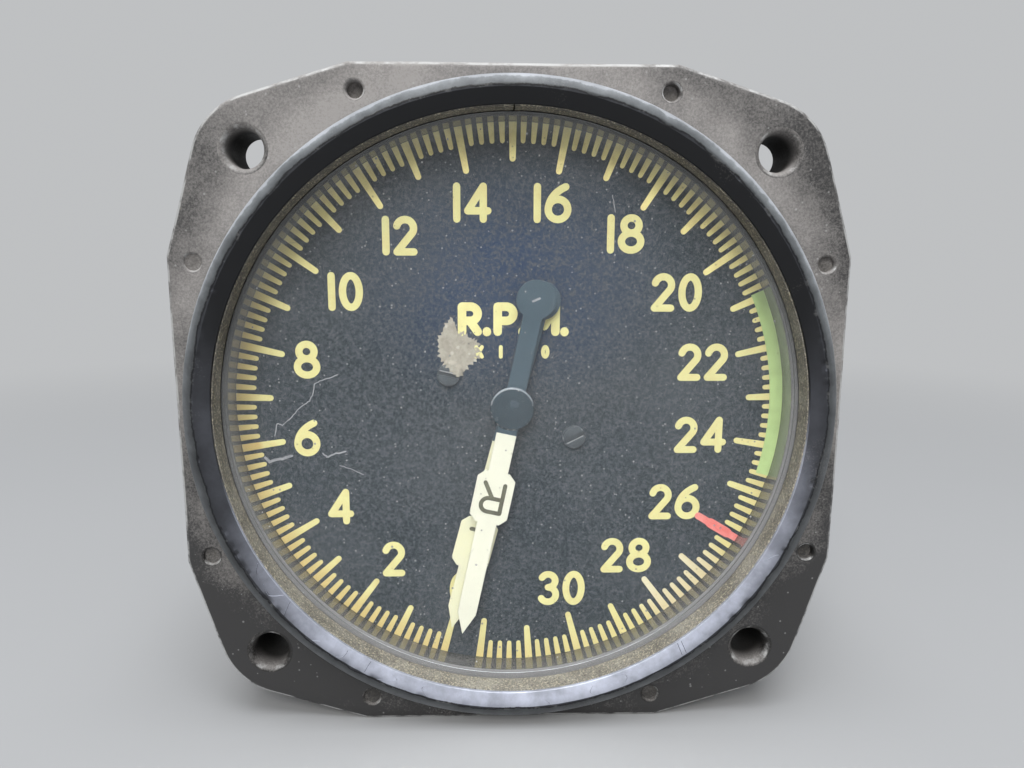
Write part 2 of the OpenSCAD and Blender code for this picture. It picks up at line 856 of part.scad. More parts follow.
// Outline of a gear whose first tooth points along +X
function gear_points(teeth) =
    let (
        pitch_r = gear_module * teeth / 2,
        base_r = pitch_r * cos(pressure),
        root_r = pitch_r - dedendum * gear_module,
        tip_r = pitch_r + gear_module,
        start_r = max(base_r, root_r) + seat_gap,
        flank = concat(
            [root_r],
            [for (i = [0:flank_steps]) start_r + (tip_r - start_r) * i / flank_steps]
        ),
        last = len(flank) - 1
    )
    [
        for (tooth = [0:teeth - 1])
            let (middle = 360 * tooth / teeth)
            each concat(
                [for (i = [0:last])
                    let (a = middle - tooth_half(flank[i], pitch_r, base_r))
                    flank[i] * [cos(a), sin(a)]],
                [for (i = [last:-1:0])
                    let (a = middle + tooth_half(flank[i], pitch_r, base_r))
                    flank[i] * [cos(a), sin(a)]]
            )
    ];

module gear_wheel(teeth, h, bore) {
    linear_extrude(height = h)
        difference() {
            polygon(gear_points(teeth));
            circle(r = bore);
        }
}

module right_staff() {
    color("#c4c7c9")
        along(right_hub_y)
            cylinder(h = middle_plate_y + plate_t - right_hub_y, r = inner_staff_r);
}

module left_staff() {
    color("#c9b06e")
        along(left_hub_y)
            tube(left_pinion_y + pinion_t - left_hub_y, hollow_r, hollow_bore_r);
}

module right_pinion() {
    color("#d3b665")
        along(right_pinion_y)
            gear_wheel(pinion_teeth, pinion_t, inner_staff_r + seat_gap);
}

module left_pinion() {
    color("#d3b665")
        along(left_pinion_y)
            gear_wheel(pinion_teeth, pinion_t, hollow_r + seat_gap);
}

module centre_bush() {
    bore = hollow_r + run_gap;
    color("#a8793c")
        along(front_plate_y)
            tube(front_plate_t + gear_lift / 2, bore + bush_wall, bore);
}

// The bushes of both drag staffs, and the rear bush of the solid staff
module staff_bushes() {
    drag_bore = drag_staff_r + run_gap;
    staff_bore = inner_staff_r + run_gap;
    color("#a8793c") {
        along(front_plate_y)
            both(axis_x)
                tube(front_plate_t, drag_bore + bush_wall, drag_bore);
        along(middle_plate_y) {
            both(axis_x)
                tube(plate_t, drag_bore + bush_wall, drag_bore);
            tube(plate_t, staff_bore + bush_wall, staff_bore);
        }
    }
}

// Pieces on the drag axes: side is 1 for the right engine and -1 for the left one
module drag_staff(side) {
    color("#c4c7c9")
        along(front_plate_y, side * axis_x)
            cylinder(h = cup_y + cup_wall - front_plate_y, r = drag_staff_r);
}

module drag_gear(side, pinion_y) {
    root_r = gear_module * (gear_teeth / 2 - dedendum);
    hole_ring = (root_r + collet_d) / 2;
    color("#d3b665")
        along(pinion_y + (pinion_t - gear_t) / 2, side * axis_x)
            rotate(180 / gear_teeth)
                difference() {
                    gear_wheel(gear_teeth, gear_t, drag_staff_r + seat_gap);
                    for (i = [0:gear_holes - 1])
                        rotate(360 * i / gear_holes)
                            translate([hole_ring, 0, 0])
                                drill(gear_t, hole_ring / 2);
                }
}

module drag_cup(side) {
    color("#b8bcc0")
        along(cup_y, side * axis_x)
            difference() {
                cylinder(h = cup_wall + magnet_len, r = cup_r);
                translate([0, 0, cup_wall])
                    cylinder(h = magnet_len + cut, r = cup_bore_r);
                drill(cup_wall, drag_staff_d + 2 * seat_gap);
            }
}

module collet(side) {
    color("#c9b06e")
        along(collet_y, side * axis_x)
            tube(collet_len, collet_d / 2, drag_staff_r + seat_gap);
}

module right_drag_staff() {
    drag_staff(1);
}

module left_drag_staff() {
    drag_staff(-1);
}

module right_drag_gear() {
    drag_gear(1, right_pinion_y);
}

module left_drag_gear() {
    drag_gear(-1, left_pinion_y);
}

module right_drag_cup() {
    drag_cup(1);
}

module left_drag_cup() {
    drag_cup(-1);
}

module right_collet() {
    collet(1);
}

module left_collet() {
    collet(-1);
}

module hairspring_studs() {
    top = collet_y + (collet_len - spring_w) / 2 - spring_t;
    color("#8f9497")
        along(top)
            both(axis_x + spring_r)
                cylinder(h = middle_plate_y + plate_t - top, d = stud_d);
}

// Points along one edge of a spiral strip, shifted outwards by the given amount
function spiral(shift) = [
    for (i = [0:spring_turns * spring_steps])
        let (
            turned = i / (spring_turns * spring_steps),
            r = spring_in_r + (spring_r - spring_in_r) * turned + shift,
            a = 360 * i / spring_steps
        )
        r * [cos(a), sin(a)]
];

function reversed(points) = [for (i = [len(points) - 1:-1:0]) points[i]];

// A spiral strip from the collet out to its stud
module hairspring(side) {
    color("#6f7f96")
        along(collet_y + (collet_len - spring_w) / 2, side * axis_x)
            rotate(side > 0 ? 0 : 180)
                linear_extrude(height = spring_w)
                    polygon(concat(spiral(spring_t / 2), reversed(spiral(-spring_t / 2))));
}

module right_hairspring() {
    hairspring(1);
}

module left_hairspring() {
    hairspring(-1);
}

// Pieces on the motor axes
module rotor_shaft(side) {
    color("#c4c7c9")
        along(magnet_y, side * axis_x)
            cylinder(h = rear_plate_y + motor_bush_len - magnet_y, r = shaft_r);
}

module rotor(side) {
    color("#7c8083")
        along(stack_y - rotor_over, side * axis_x)
            tube(stack_len + 2 * rotor_over, rotor_r, shaft_r + seat_gap);
}

module drag_magnet(side) {
    notch_r = magnet_r / magnet_poles;
    color("#5d6064")
        along(magnet_y, side * axis_x)
            difference() {
                tube(magnet_len, magnet_r, shaft_r + seat_gap);
                for (i = [0:magnet_poles - 1])
                    rotate(360 * i / magnet_poles)
                        translate([magnet_r, 0, 0])
                            drill(magnet_len, 2 * notch_r);
            }
}

module keeper(side) {
    color("#8a8d90")
        along(magnet_y, side * axis_x)
            difference() {
                cylinder(h = magnet_len + keeper_web, r = keeper_r);
                translate([0, 0, -cut])
                    cylinder(h = magnet_len + cut, r = keeper_bore_r);
                drill(magnet_len + keeper_web, shaft_d + 2 * seat_gap);
            }
}

module motor_can(side) {
    color("#9fa3a6")
        along(can_y, side * axis_x)
            tube(motor_len, can_r, can_r - can_wall);
}

// Repeats a shape at each stator slot, pointing outwards along +X
module slot_places() {
    for (i = [0:stator_slots - 1])
        rotate(360 * i / stator_slots)
            children();
}

module stator(side) {
    color("#55585b")
        along(stack_y, side * axis_x)
            difference() {
                tube(stack_len, stator_r, stator_bore_r);
                slot_places()
                    translate([slot_in_r, -slot_w / 2, -cut])
                        cube([slot_depth, slot_w, stack_len + 2 * cut]);
                slot_places()
                    translate([0, -slot_mouth_w / 2, -cut])
                        cube([slot_in_r + cut, slot_mouth_w, stack_len + 2 * cut]);
            }
}

module windings(side) {
    bar_w = slot_w - 2 * rotor_gap;
    color("#a5562a")
        along(stack_y, side * axis_x) {
            for (z = [-end_turn, stack_len])
                translate([0, 0, z])
                    tube(end_turn, winding_out_r, winding_in_r);
            slot_places()
                translate([winding_in_r + rotor_gap, -bar_w / 2, -cut])
                    cube([winding_out_r - winding_in_r - 2 * rotor_gap, bar_w, stack_len + 2 * cut]);
        }
}

module right_rotor_shaft() {
    rotor_shaft(1);
}

module left_rotor_shaft() {
    rotor_shaft(-1);
}

module right_rotor() {
    rotor(1);
}

module left_rotor() {
    rotor(-1);
}

module right_drag_magnet() {
    drag_magnet(1);
}

module left_drag_magnet() {
    drag_magnet(-1);
}

module right_keeper() {
    keeper(1);
}

module left_keeper() {
    keeper(-1);
}

module right_motor_can() {
    motor_can(1);
}

module left_motor_can() {
    motor_can(-1);
}

module right_stator() {
    stator(1);
}

module left_stator() {
    stator(-1);
}

module right_windings() {
    windings(1);
}

module left_windings() {
    windings(-1);
}

module motor_bushes() {
    bore = shaft_r + run_gap;
    color("#a8793c") {
        along(motor_plate_y)
            both(axis_x)
                tube(motor_bush_len, bore + motor_bush_wall, bore);
        along(rear_plate_y)
            both(axis_x)
                tube(motor_bush_len, bore + motor_bush_wall, bore);
    }
}

// Clockwise direction of a receptacle pin, as X and Z from the middle of its shell
function pin_way(i) = [sin(360 * i / pin_count), cos(360 * i / pin_count)];

function unit(v) = v / norm(v);

// Direction in which a route runs through one of its points
function route_way(route, i) =
    let (
        before = i == 0 ? [0, 0, 0] : unit(route[i] - route[i - 1]),
        after = i == len(route) - 1 ? [0, 0, 0] : unit(route[i + 1] - route[i])
    )
    unit(before + after);

// Points of a ring round a route's point, square to the route
function route_ring(route, i, r) =
    let (
        way = route_way(route, i),
        over = unit(cross(way, [1, 0, 0])),
        across = cross(way, over)
    )
    [for (s = [0:lead_sides - 1])
        route[i] + r * (cos(360 * s / lead_sides) * over + sin(360 * s / lead_sides) * across)];

// A lead of even thickness along the points of a route
module lead(route, d) {
    last = len(route) - 1;
    points = [for (i = [0:last]) each route_ring(route, i, d / 2)];
    walls = [
        for (i = [0:last - 1], s = [0:lead_sides - 1])
            let (
                here = i * lead_sides,
                next = (s + 1) % lead_sides
            )
            each [
                [here + s, here + lead_sides + next, here + next],
                [here + s, here + lead_sides + s, here + lead_sides + next]
            ]
    ];
    foot = [for (s = [1:lead_sides - 2]) [0, s, s + 1]];
    head = [for (s = [1:lead_sides - 2]) [0, s + 1, s] + last * lead_sides * [1, 1, 1]];
    polyhedron(points, concat(foot, walls, head));
}

// Leads from each motor's end turns, through the rear plate, to the solder ends of the pins
module motor_leads() {
    start_y = stack_y + stack_len + end_turn;
    color("#a33a2c")
        for (side = [-1, 1], i = [0:pin_count - 1]) {
            from = [side * axis_x, lead_z] + lead_ring_r * pin_way(i);
            to = [side * socket_x, 0] + pin_circle_r * pin_way(i);
            lead([
                [from.x, start_y, from.y],
                [from.x, movement_end + lead_d, from.y],
                [to.x, pin_y - lead_d, to.y],
                [to.x, pin_y, to.y]
            ], lead_d);
        }
}

// Repeats a shape at each rear cover screw
module cover_screw_places() {
    for (i = [0:cover_screws - 1])
        rotate(360 * i / cover_screws)
            translate([cover_screw_ring, 0, 0])
                children();
}

// Repeats a shape at each receptacle screw
module socket_screw_places() {
    both(socket_x)
        corners(socket_screw_pitch / 2, socket_screw_pitch / 2)
            children();
}

module rear_cover() {
    color("#2e2e2d")
        along(cover_y)
            difference() {
                cylinder(h = cover_t, r = cover_r);
                both(socket_x)
                    drill(cover_t, 2 * (insert_r + socket_wall / 2 + stack_gap));
                cover_screw_places()
                    drill(cover_t, cover_shank_d + 2 * stack_gap);
                socket_screw_places()
                    drill(cover_t, socket_shank_d + 2 * seat_gap);
            }
}

module rear_cover_gasket() {
    color("#151515")
        along(cover_gasket_y)
            difference() {
                tube(cover_gasket_t, cover_r, rear_rim_r);
                cover_screw_places()
                    drill(cover_gasket_t, cover_shank_d + 2 * stack_gap);
            }
}

module rear_cover_screws() {
    color("#8f9497")
        along(cover_y + cover_t)
            cover_screw_places()
                mirror([0, 0, 1])
                    screw(cover_head_d, cover_head_h, cover_shank_d,
                        cover_t + cover_gasket_t + cover_screw_reach);
}

module receptacle_shells() {
    color("#9c9f9a")
        along(0)
            both(socket_x)
                difference() {
                    union() {
                        translate([0, 0, insert_y])
                            cylinder(h = socket_mouth - insert_y, r = insert_r + socket_wall / 2);
                        translate([0, 0, socket_y + socket_flange_t])
                            cylinder(h = socket_len, r = socket_r);
                        translate([-socket_flange / 2, -socket_flange / 2, socket_y])
                            cube([socket_flange, socket_flange, socket_flange_t]);
                    }
                    translate([0, 0, insert_y - cut])
                        cylinder(h = socket_mouth - insert_y + 2 * cut, r = insert_r);
                    corners(socket_screw_pitch / 2, socket_screw_pitch / 2)
                        translate([0, 0, socket_y])
                            drill(socket_flange_t, socket_shank_d + 2 * stack_gap);
                }
}

// Repeats a shape at each receptacle pin
module pin_places() {
    both(socket_x)
        for (i = [0:pin_count - 1])
            translate([pin_circle_r * pin_way(i).x, -pin_circle_r * pin_way(i).y, 0])
                children();
}

module receptacle_inserts() {
    color("#3a2a20")
        along(insert_y)
            difference() {
                both(socket_x)
                    cylinder(h = insert_len, r = insert_r - seat_gap);
                pin_places()
                    drill(insert_len, pin_d + 2 * seat_gap);
            }
}

module contact_pins() {
    color("#d8c070")
        along(pin_y)
            pin_places()
                cylinder(h = socket_mouth - pin_inset - pin_y, d = pin_d);
}

// The gaskets under the receptacles' flanges and the screws that hold them
module receptacle_trim() {
    color("#151515")
        along(socket_gasket_y)
            both(socket_x)
                difference() {
                    translate([-socket_flange / 2, -socket_flange / 2, 0])
                        cube([socket_flange, socket_flange, socket_gasket_t]);
                    drill(socket_gasket_t, 2 * (insert_r + socket_wall / 2 + stack_gap));
                    corners(socket_screw_pitch / 2, socket_screw_pitch / 2)
                        drill(socket_gasket_t, socket_shank_d + 2 * stack_gap);
                }
    color("#8f9497")
        along(socket_y + socket_flange_t)
            socket_screw_places()
                mirror([0, 0, 1])
                    screw(socket_head_d, socket_head_h, socket_shank_d,
                        socket_flange_t + socket_gasket_t + cover_t);
}

flanged_case();
bezel_ring();
retaining_ring();
cover_glass();
glass_gasket();
spacer_ring();
dial_plate();
dial_screws();
right_pointer();
left_pointer();
front_plate();
middle_plate();
motor_plate();
rear_plate();
front_pillars();
middle_pillars();
rear_pillars();
tie_rods();
tie_rod_nuts();
seat_screws();
right_staff();
left_staff();
right_pinion();
left_pinion();
centre_bush();
staff_bushes();
right_drag_staff();
left_drag_staff();
right_drag_gear();
left_drag_gear();
right_drag_cup();
left_drag_cup();
hairspring_studs();
right_collet();
left_collet();
right_hairspring();
left_hairspring();
right_rotor_shaft();
left_rotor_shaft();
right_rotor();
left_rotor();
right_drag_magnet();
left_drag_magnet();
right_keeper();
left_keeper();
right_motor_can();
left_motor_can();
right_stator();
left_stator();
right_windings();
left_windings();
motor_bushes();
motor_leads();
rear_cover();
rear_cover_gasket();
rear_cover_screws();
receptacle_shells();
receptacle_inserts();
contact_pins();
receptacle_trim();
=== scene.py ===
"""Finishes, dial, pointers and fittings of a two-pointer aircraft tachometer, set on its packed frame."""
import json
import math
import random

import bmesh
import bpy
from bpy.props import FloatProperty, FloatVectorProperty, IntProperty, PointerProperty
from mathutils import Matrix, Vector, noise

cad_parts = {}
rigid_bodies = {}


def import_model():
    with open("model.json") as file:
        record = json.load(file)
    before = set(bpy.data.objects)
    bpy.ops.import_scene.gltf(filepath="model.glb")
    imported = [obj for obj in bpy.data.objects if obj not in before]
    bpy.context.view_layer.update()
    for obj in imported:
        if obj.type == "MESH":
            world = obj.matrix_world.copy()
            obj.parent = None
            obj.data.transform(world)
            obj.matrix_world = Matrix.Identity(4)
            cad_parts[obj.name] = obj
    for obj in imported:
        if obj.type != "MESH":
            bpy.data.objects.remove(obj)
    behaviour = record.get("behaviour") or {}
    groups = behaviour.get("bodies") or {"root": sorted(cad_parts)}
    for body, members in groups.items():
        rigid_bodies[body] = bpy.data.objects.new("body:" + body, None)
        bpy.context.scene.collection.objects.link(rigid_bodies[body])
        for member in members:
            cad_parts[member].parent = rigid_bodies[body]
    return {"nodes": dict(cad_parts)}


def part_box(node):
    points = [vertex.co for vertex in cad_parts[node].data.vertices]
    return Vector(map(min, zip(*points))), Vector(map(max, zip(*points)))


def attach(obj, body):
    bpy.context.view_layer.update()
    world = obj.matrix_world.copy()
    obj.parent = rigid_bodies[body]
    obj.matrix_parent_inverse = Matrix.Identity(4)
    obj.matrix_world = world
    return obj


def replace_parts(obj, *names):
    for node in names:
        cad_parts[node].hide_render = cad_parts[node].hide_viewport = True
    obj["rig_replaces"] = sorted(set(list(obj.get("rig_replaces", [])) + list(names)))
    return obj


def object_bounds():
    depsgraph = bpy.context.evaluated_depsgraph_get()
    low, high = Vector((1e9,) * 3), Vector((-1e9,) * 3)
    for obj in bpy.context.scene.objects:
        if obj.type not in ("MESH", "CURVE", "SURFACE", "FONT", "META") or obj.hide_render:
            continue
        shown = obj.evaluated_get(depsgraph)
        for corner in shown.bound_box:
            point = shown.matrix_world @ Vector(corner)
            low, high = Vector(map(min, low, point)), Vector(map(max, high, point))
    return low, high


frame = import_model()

bl_info = {
    "name": "Two-pointer tachometer",
    "version": (1, 0, 0),
    "blender": (4, 5, 0),
    "location": "View3D > Sidebar > Tachometer",
    "description": "Dresses a packed two-pointer tachometer with its finishes, dial and fittings",
    "category": "Object",
}

MM = 0.001
CAD_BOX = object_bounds()
FULL_TURN = 2 * math.pi
SHARP_DEGREES = 35


def front(node):
    """Plane of a node's front face, as a Y place."""
    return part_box(node)[0].y


def back(node):
    """Plane of a node's rear face, as a Y place."""
    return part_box(node)[1].y


def reach(node):
    """Half the width of a node that is centred on the dial's axis."""
    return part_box(node)[1].x


# Properties that a user may change

def length(label, description, millimetres):
    """A length, given in millimetres and kept in metres."""
    return FloatProperty(
        name=label, description=description, default=millimetres * MM, precision=5, unit="LENGTH")


def place(label, description, metres):
    """A length that comes from the packed frame, in metres."""
    return FloatProperty(name=label, description=description, default=metres, precision=5, unit="LENGTH")


def plain_number(label, description, value, unit="NONE"):
    """A plain number, or one with a unit."""
    return FloatProperty(name=label, description=description, default=value, unit=unit)


def turn(label, description, degrees):
    """An angle, given in degrees."""
    return FloatProperty(
        name=label, description=description, default=math.radians(degrees), unit="ROTATION")


def count(label, description, number):
    """A whole number of like things."""
    return IntProperty(name=label, description=description, default=number, min=1)


def colour(label, description, shade):
    """A linear colour."""
    return FloatVectorProperty(
        name=label, description=description, default=shade, size=3, min=0, max=1, subtype="COLOR")


class FrontSizes(bpy.types.PropertyGroup):
    """Sizes of the case, the bezel and the stack behind the bezel"""
    flange_half: place("Flange half side", "From the dial's axis to a flat side", reach("flanged_case"))
    flange_flat: length("Flange flat", "Length of the straight middle of each side", 38.4)
    flange_slope: turn("Flange slope", "Angle of a side beyond its straight middle", 17)
    flange_corner: length("Flange corner", "Radius of a corner of the flange", 9.1)
    flange_edge: length("Flange edge", "Rounding of the flange's edges", 0.7)
    bolt_place: length("Bolt place", "From the axis to a mounting hole, along each side", 31.435)
    bolt_hole: length("Bolt hole", "Diameter of a mounting hole", 4.4)
    bolt_sink: length("Bolt countersink", "Diameter of a mounting hole's countersink", 5.9)
    edge_hole_far: length("Edge hole height", "From the axis to the line of holes near an edge", 38.1)
    edge_hole_side: length("Edge hole spread", "From the axis to a hole along that line", 18.4)
    edge_hole: length("Edge hole", "Diameter of a small hole near an edge", 1.9)
    edge_sink: length("Edge countersink", "Diameter of a small hole's countersink", 2.6)
    barrel: length("Barrel", "Radius of the barrel behind the flange", 39.5)
    barrel_bore: length("Barrel bore", "Radius of the space for the movement", 36.5)
    rear_opening: length("Rear opening", "Radius of the opening that the rear cover closes", 33.0)
    rear_wall: length("Rear wall", "Thickness of the barrel's rear rim", 2.5)
    rim: length("Rim", "Outer radius of the rim that the bezel sits on", 38.25)
    stack_bore: length("Stack bore", "Radius of the bore that holds glass and dial", 37.6)
    crest: length("Bezel crest", "Radius of the foremost line of the bezel", 38.15)
    shoulder: length("Bezel shoulder", "Length of the bezel's straight side, from the flange", 2.3)
    lip: length("Bezel lip", "Inner radius of the bezel", 36.17)
    lip_land: length("Bezel lip land", "Straight length of the inner edge", 0.35)
    retainer: length("Retaining ring", "Inner radius of the retaining ring", 36.05)
    retainer_split: turn("Ring split", "Place of the ring's split, clockwise from the top", 0)
    split_gap: length("Split gap", "Width of the ring's split", 0.2)
    spacer: length("Spacer ring", "Inner radius of the spacer ring", 35.8)
    spacer_foot: length("Spacer foot", "Inner radius of the spacer ring at the dial", 35.6)


class DialSizes(bpy.types.PropertyGroup):
    """Sizes of the dial's markings"""
    scale_top: count("Scale top", "Last value on the scale", 32)
    top_value: plain_number("Value at the top", "Scale value straight up", 15)
    unit_turn: turn("Turn per unit", "Angle between two units of the scale", 11)
    parts: count("Parts of a unit", "Small divisions in each unit", 5)
    tick_outer: length("Tick circle", "Radius at which the ticks end", 35.55)
    long_inner: length("Long tick", "Radius at which a numbered tick starts", 29.85)
    medium_inner: length("Medium tick", "Radius at which a plain unit's tick starts", 30.8)
    short_inner: length("Short tick", "Radius at which a small tick starts", 33.0)
    tick_w: length("Tick width", "Width of a unit's tick", 0.98)
    short_w: length("Short tick width", "Width of a small tick", 0.76)
    numeral_h: length("Numeral height", "Height of a numeral", 4.9)
    numeral_w: length("Numeral stroke", "Width of a numeral's stroke", 0.92)
    numeral_ring: length("Numeral circle", "Radius that the numerals reach out to", 28.75)
    unit_h: length("Unit height", "Height of the unit's letters", 4.3)
    unit_w: length("Unit stroke", "Width of the unit's strokes", 1.1)
    unit_z: length("Unit place", "Height of the unit's letters above the axis", 11.3)
    unit_x: length("Unit shift", "Shift of the unit's letters to the right", 0.35)
    unit_half: length("Unit half width", "Half the width of the unit's letters", 7.3)
    factor_h: length("Factor height", "Height of the small line below the unit", 1.75)
    factor_w: length("Factor stroke", "Width of the small line's strokes", 0.5)
    factor_z: length("Factor place", "Height of the small line above the axis", 7.1)
    factor_half: length("Factor half width", "Half the width of the small line", 4.85)
    arc_inner: length("Arc inner radius", "Inner radius of the green arc", 33.95)
    arc_outer: length("Arc outer radius", "Outer radius of the green arc", 35.78)
    arc_from: plain_number("Arc start", "Scale value where the arc starts", 20.9)
    arc_to: plain_number("Arc end", "Scale value where the arc ends", 24.6)
    limit_value: plain_number("Limit", "Scale value of the red line", 26)
    limit_inner: length("Limit line", "Radius at which the red line starts", 29.4)
    paint: length("Paint", "Height of the paint on the dial", 0.06)
    hole: length("Dial hole", "Radius of the dial's middle hole", 2.2)
    screw_ring: length("Screw circle", "Radius at which the dial's screws sit", 9.2)
    screw_turn: turn("Screw place", "Clockwise angle of the first dial screw from the top", 117)
    screw_head: length("Screw head", "Diameter of a dial screw's head", 3.0)


class PointerSizes(bpy.types.PropertyGroup):
    """Sizes of the two pointers"""
    reach: length("Pointer reach", "From the axis to the pointer's tip", 31.5)
    blade: length("Blade width", "Width of the blade at the flag", 2.6)
    blade_end: length("Blade end width", "Width of the blade where its point starts", 2.5)
    point: length("Point", "Length of the tapered point", 3.0)
    right_paint: length("Right paint", "Radius at which the right pointer's light paint starts", 3.4)
    left_paint: length("Left paint", "Radius at which the left pointer's light paint starts", 4.9)
    thickness: length("Thickness", "Thickness of a pointer", 0.3)
    flag_long: length("Flag length", "Length of the lettered flag along the pointer", 7.0)
    flag_wide: length("Flag width", "Width of the lettered flag", 5.0)
    flag_cut: length("Flag corner", "Cut at the flag's corners", 0.9)
    tail: length("Tail", "From the axis to the middle of the tail's disc", 14.2)
    tail_wide: length("Tail width", "Width of the tail's arm", 2.4)
    tail_disc: length("Tail disc", "Diameter of the tail's disc", 5.0)
    letter_h: length("Letter height", "Height of the letter on the flag", 4.4)
    letter_w: length("Letter stroke", "Width of the letter's stroke", 0.55)
    right_flag: length("Right flag", "Radius at which the right pointer's flag starts", 8.6)
    left_flag: length("Left flag", "Radius at which the left pointer's flag starts", 15.6)
    right_turn: turn("Right pointer", "Clockwise angle of the right pointer at rest", 192.1)
    left_turn: turn("Left pointer", "Clockwise angle of the left pointer at rest", 194.8)
    right_hub: length("Right hub", "Diameter of the right pointer's hub", 5.7)
    left_hub: length("Left hub", "Diameter of the left pointer's hub", 4.8)


class RearSizes(bpy.types.PropertyGroup):
    """Sizes of the rear cover and its receptacles"""
    cover_edge: length("Cover edge", "Rounding of the rear cover's edge", 0.8)
    cover_screws: count("Cover screws", "Screws that hold the rear cover", 6)
    cover_screw_head: length("Cover screw head", "Diameter of a cover screw's head", 4.4)
    receptacle_place: length("Receptacle place", "From the axis to a receptacle, sideways", 16.5)
    plate_half: length("Receptacle plate", "Half the side of a receptacle's plate", 11.0)
    plate_corner: length("Plate corner", "Radius of the plate's corners", 1.2)
    pad_thick: length("Pad thickness", "Thickness of the gasket under a receptacle's plate", 0.6)
    sleeve: length("Sleeve", "Wall of a receptacle's shell inside the cover", 0.7)
    plate_thick: length("Plate thickness", "Thickness of a receptacle's plate", 2.0)
    plate_screw: length("Plate screw place", "From a receptacle's axis to its screws, along each side", 8.5)
    plate_screw_head: length("Plate screw head", "Diameter of a plate screw's head", 3.6)
    shell: length("Shell", "Outer radius of a receptacle's thread", 7.9)
    shell_bore: length("Shell bore", "Inner radius of a receptacle's shell", 6.5)
    thread_pitch: length("Thread pitch", "Distance between two ridges of the thread", 1.27)
    thread_depth: length("Thread depth", "Depth of the thread", 0.5)
    pin_ring: length("Pin circle", "Radius at which the contact pins stand", 4.2)
    pin: length("Pin", "Diameter of a contact pin", 1.6)
    pins: count("Pins", "Contact pins in each receptacle", 3)


class StageSizes(bpy.types.PropertyGroup):
    """Floor, lamps and camera"""
    floor_half: plain_number("Floor", "Half the floor's side", 3.0, "LENGTH")
    camera_place: FloatVectorProperty(
        name="Camera", description="Place of the camera", default=(-0.00267, -0.09789, 0.01883),
        precision=5, subtype="TRANSLATION", unit="LENGTH")
    camera_yaw: turn("Camera yaw", "Turn of the camera to the right", -1.627)
    camera_pitch: turn("Camera pitch", "Turn of the camera downwards", 9.534)
    camera_roll: turn("Camera roll", "Tilt of the camera", 0.212)
    camera_lens: plain_number("Lens", "Focal length on a 36 mm sensor, in millimetres", 26.02)
    overhead_power: plain_number("Overhead lamp", "Power of the lamp above", 5.5, "POWER")
    front_power: plain_number("Front lamp", "Power of the lamp in front", 6.5, "POWER")
    sky_strength: plain_number("Sky", "Strength of the light from all round", 0.25)


class Finishes(bpy.types.PropertyGroup):
    """Colours of the paints, metals and markings"""
    case_black: colour("Case paint", "Black paint of the case", (0.036, 0.035, 0.035))
    case_dust: colour("Case dust", "Dust on the case", (0.36, 0.34, 0.325))
    worn_metal: colour("Worn metal", "Metal that shows at worn edges", (0.58, 0.58, 0.57))
    bezel_black: colour("Bezel enamel", "Black enamel of the bezel", (0.009, 0.0095, 0.011))
    # Painted highlight: grey that stands for the lamp's reflection on the bezel's inner slope where it faces
    # up
    bezel_bloom: colour("Bezel bloom", "Grey bloom on the bezel's inner slope", (0.6, 0.63, 0.74))
    # Worn grey of the brow together with a painted highlight, lighter towards the outer edge and where it
    # faces up
    bezel_brow: colour("Bezel brow", "Worn grey of the bezel's outer face", (0.3, 0.32, 0.335))
    # Painted highlight: pale line along the bezel's outer edge where it faces up
    bezel_rim: colour("Bezel rim", "Pale line along the bezel's outer edge", (0.5, 0.52, 0.56))
    ring_brown: colour("Ring grime", "Brown grime on the retaining ring", (0.1, 0.09, 0.075))
    ring_dust: colour("Ring dust", "Pale dust on the retaining ring", (0.4, 0.38, 0.325))
    spacer_gloss: colour("Spacer gloss", "Strength of the spacer's mirror", (0.23, 0.23, 0.23))
    ring_gold: colour("Ring grains", "Golden grains in the retaining ring's dust", (0.66, 0.6, 0.44))
    dial_black: colour("Dial paint", "Blue-black paint of the dial", (0.013, 0.024, 0.032))
    # Painted reflection: bluer tone of the dial's upper middle
    dial_blue: colour("Dial sheen", "Bluer shade of the dial's upper middle", (0.014, 0.036, 0.085))
    cream: colour("Marking paint", "Yellowed paint of ticks and numerals", (0.69, 0.665, 0.31))
    ochre: colour("Aged paint", "Browner shade of the aged markings", (0.58, 0.44, 0.17))
    green: colour("Arc paint", "Paint of the normal range", (0.465, 0.63, 0.27))
    red: colour("Limit paint", "Paint of the limit line", (0.72, 0.17, 0.15))
    ivory: colour("Pointer paint", "Light paint of the pointers", (0.73, 0.735, 0.61))
    slate: colour("Pointer dark", "Dark paint of hubs and tails", (0.05, 0.085, 0.11))
    ink: colour("Flag ink", "Dark letters on the flags", (0.1, 0.1, 0.07))
    flake: colour("Flaked paint", "Bare fibrous patch on the dial", (0.42, 0.4, 0.34))
    floor: colour("Floor", "Pale floor", (0.5, 0.505, 0.51))
    backdrop: colour("Backdrop", "Pale tone behind the floor", (0.52, 0.53, 0.54))


def sizes(group):
    """A group of sizes, as the scene keeps it."""
    return getattr(bpy.context.scene, "tachometer_" + group)


def finishes():
    """Colours of the paints, metals and markings, as the scene keeps them."""
    return bpy.context.scene.tachometer_finishes


# Meshes

def shaded(mesh, sharp):
    """The mesh with smooth shading, and edges that are sharp above an angle in degrees."""
    mesh.shade_smooth()
    mesh.set_sharp_from_angle(angle=math.radians(sharp))
    return mesh


def cleaned(mesh, sharp=SHARP_DEGREES):
    """The mesh with doubled points merged and its faces turned outwards."""
    work = bmesh.new()
    work.from_mesh(mesh)
    bmesh.ops.remove_doubles(work, verts=work.verts, dist=0.0005 * MM)
    bmesh.ops.dissolve_degenerate(work, edges=work.edges, dist=0.0002 * MM)
    bmesh.ops.recalc_face_normals(work, faces=work.faces)
    work.to_mesh(mesh)
    work.free()
    return shaded(mesh, sharp)


def solid(name, points, faces, sharp=SHARP_DEGREES):
    """A closed mesh of points and faces."""
    mesh = bpy.data.meshes.new(name)
    mesh.from_pydata([tuple(p) for p in points], [], faces)
    return cleaned(mesh, sharp)


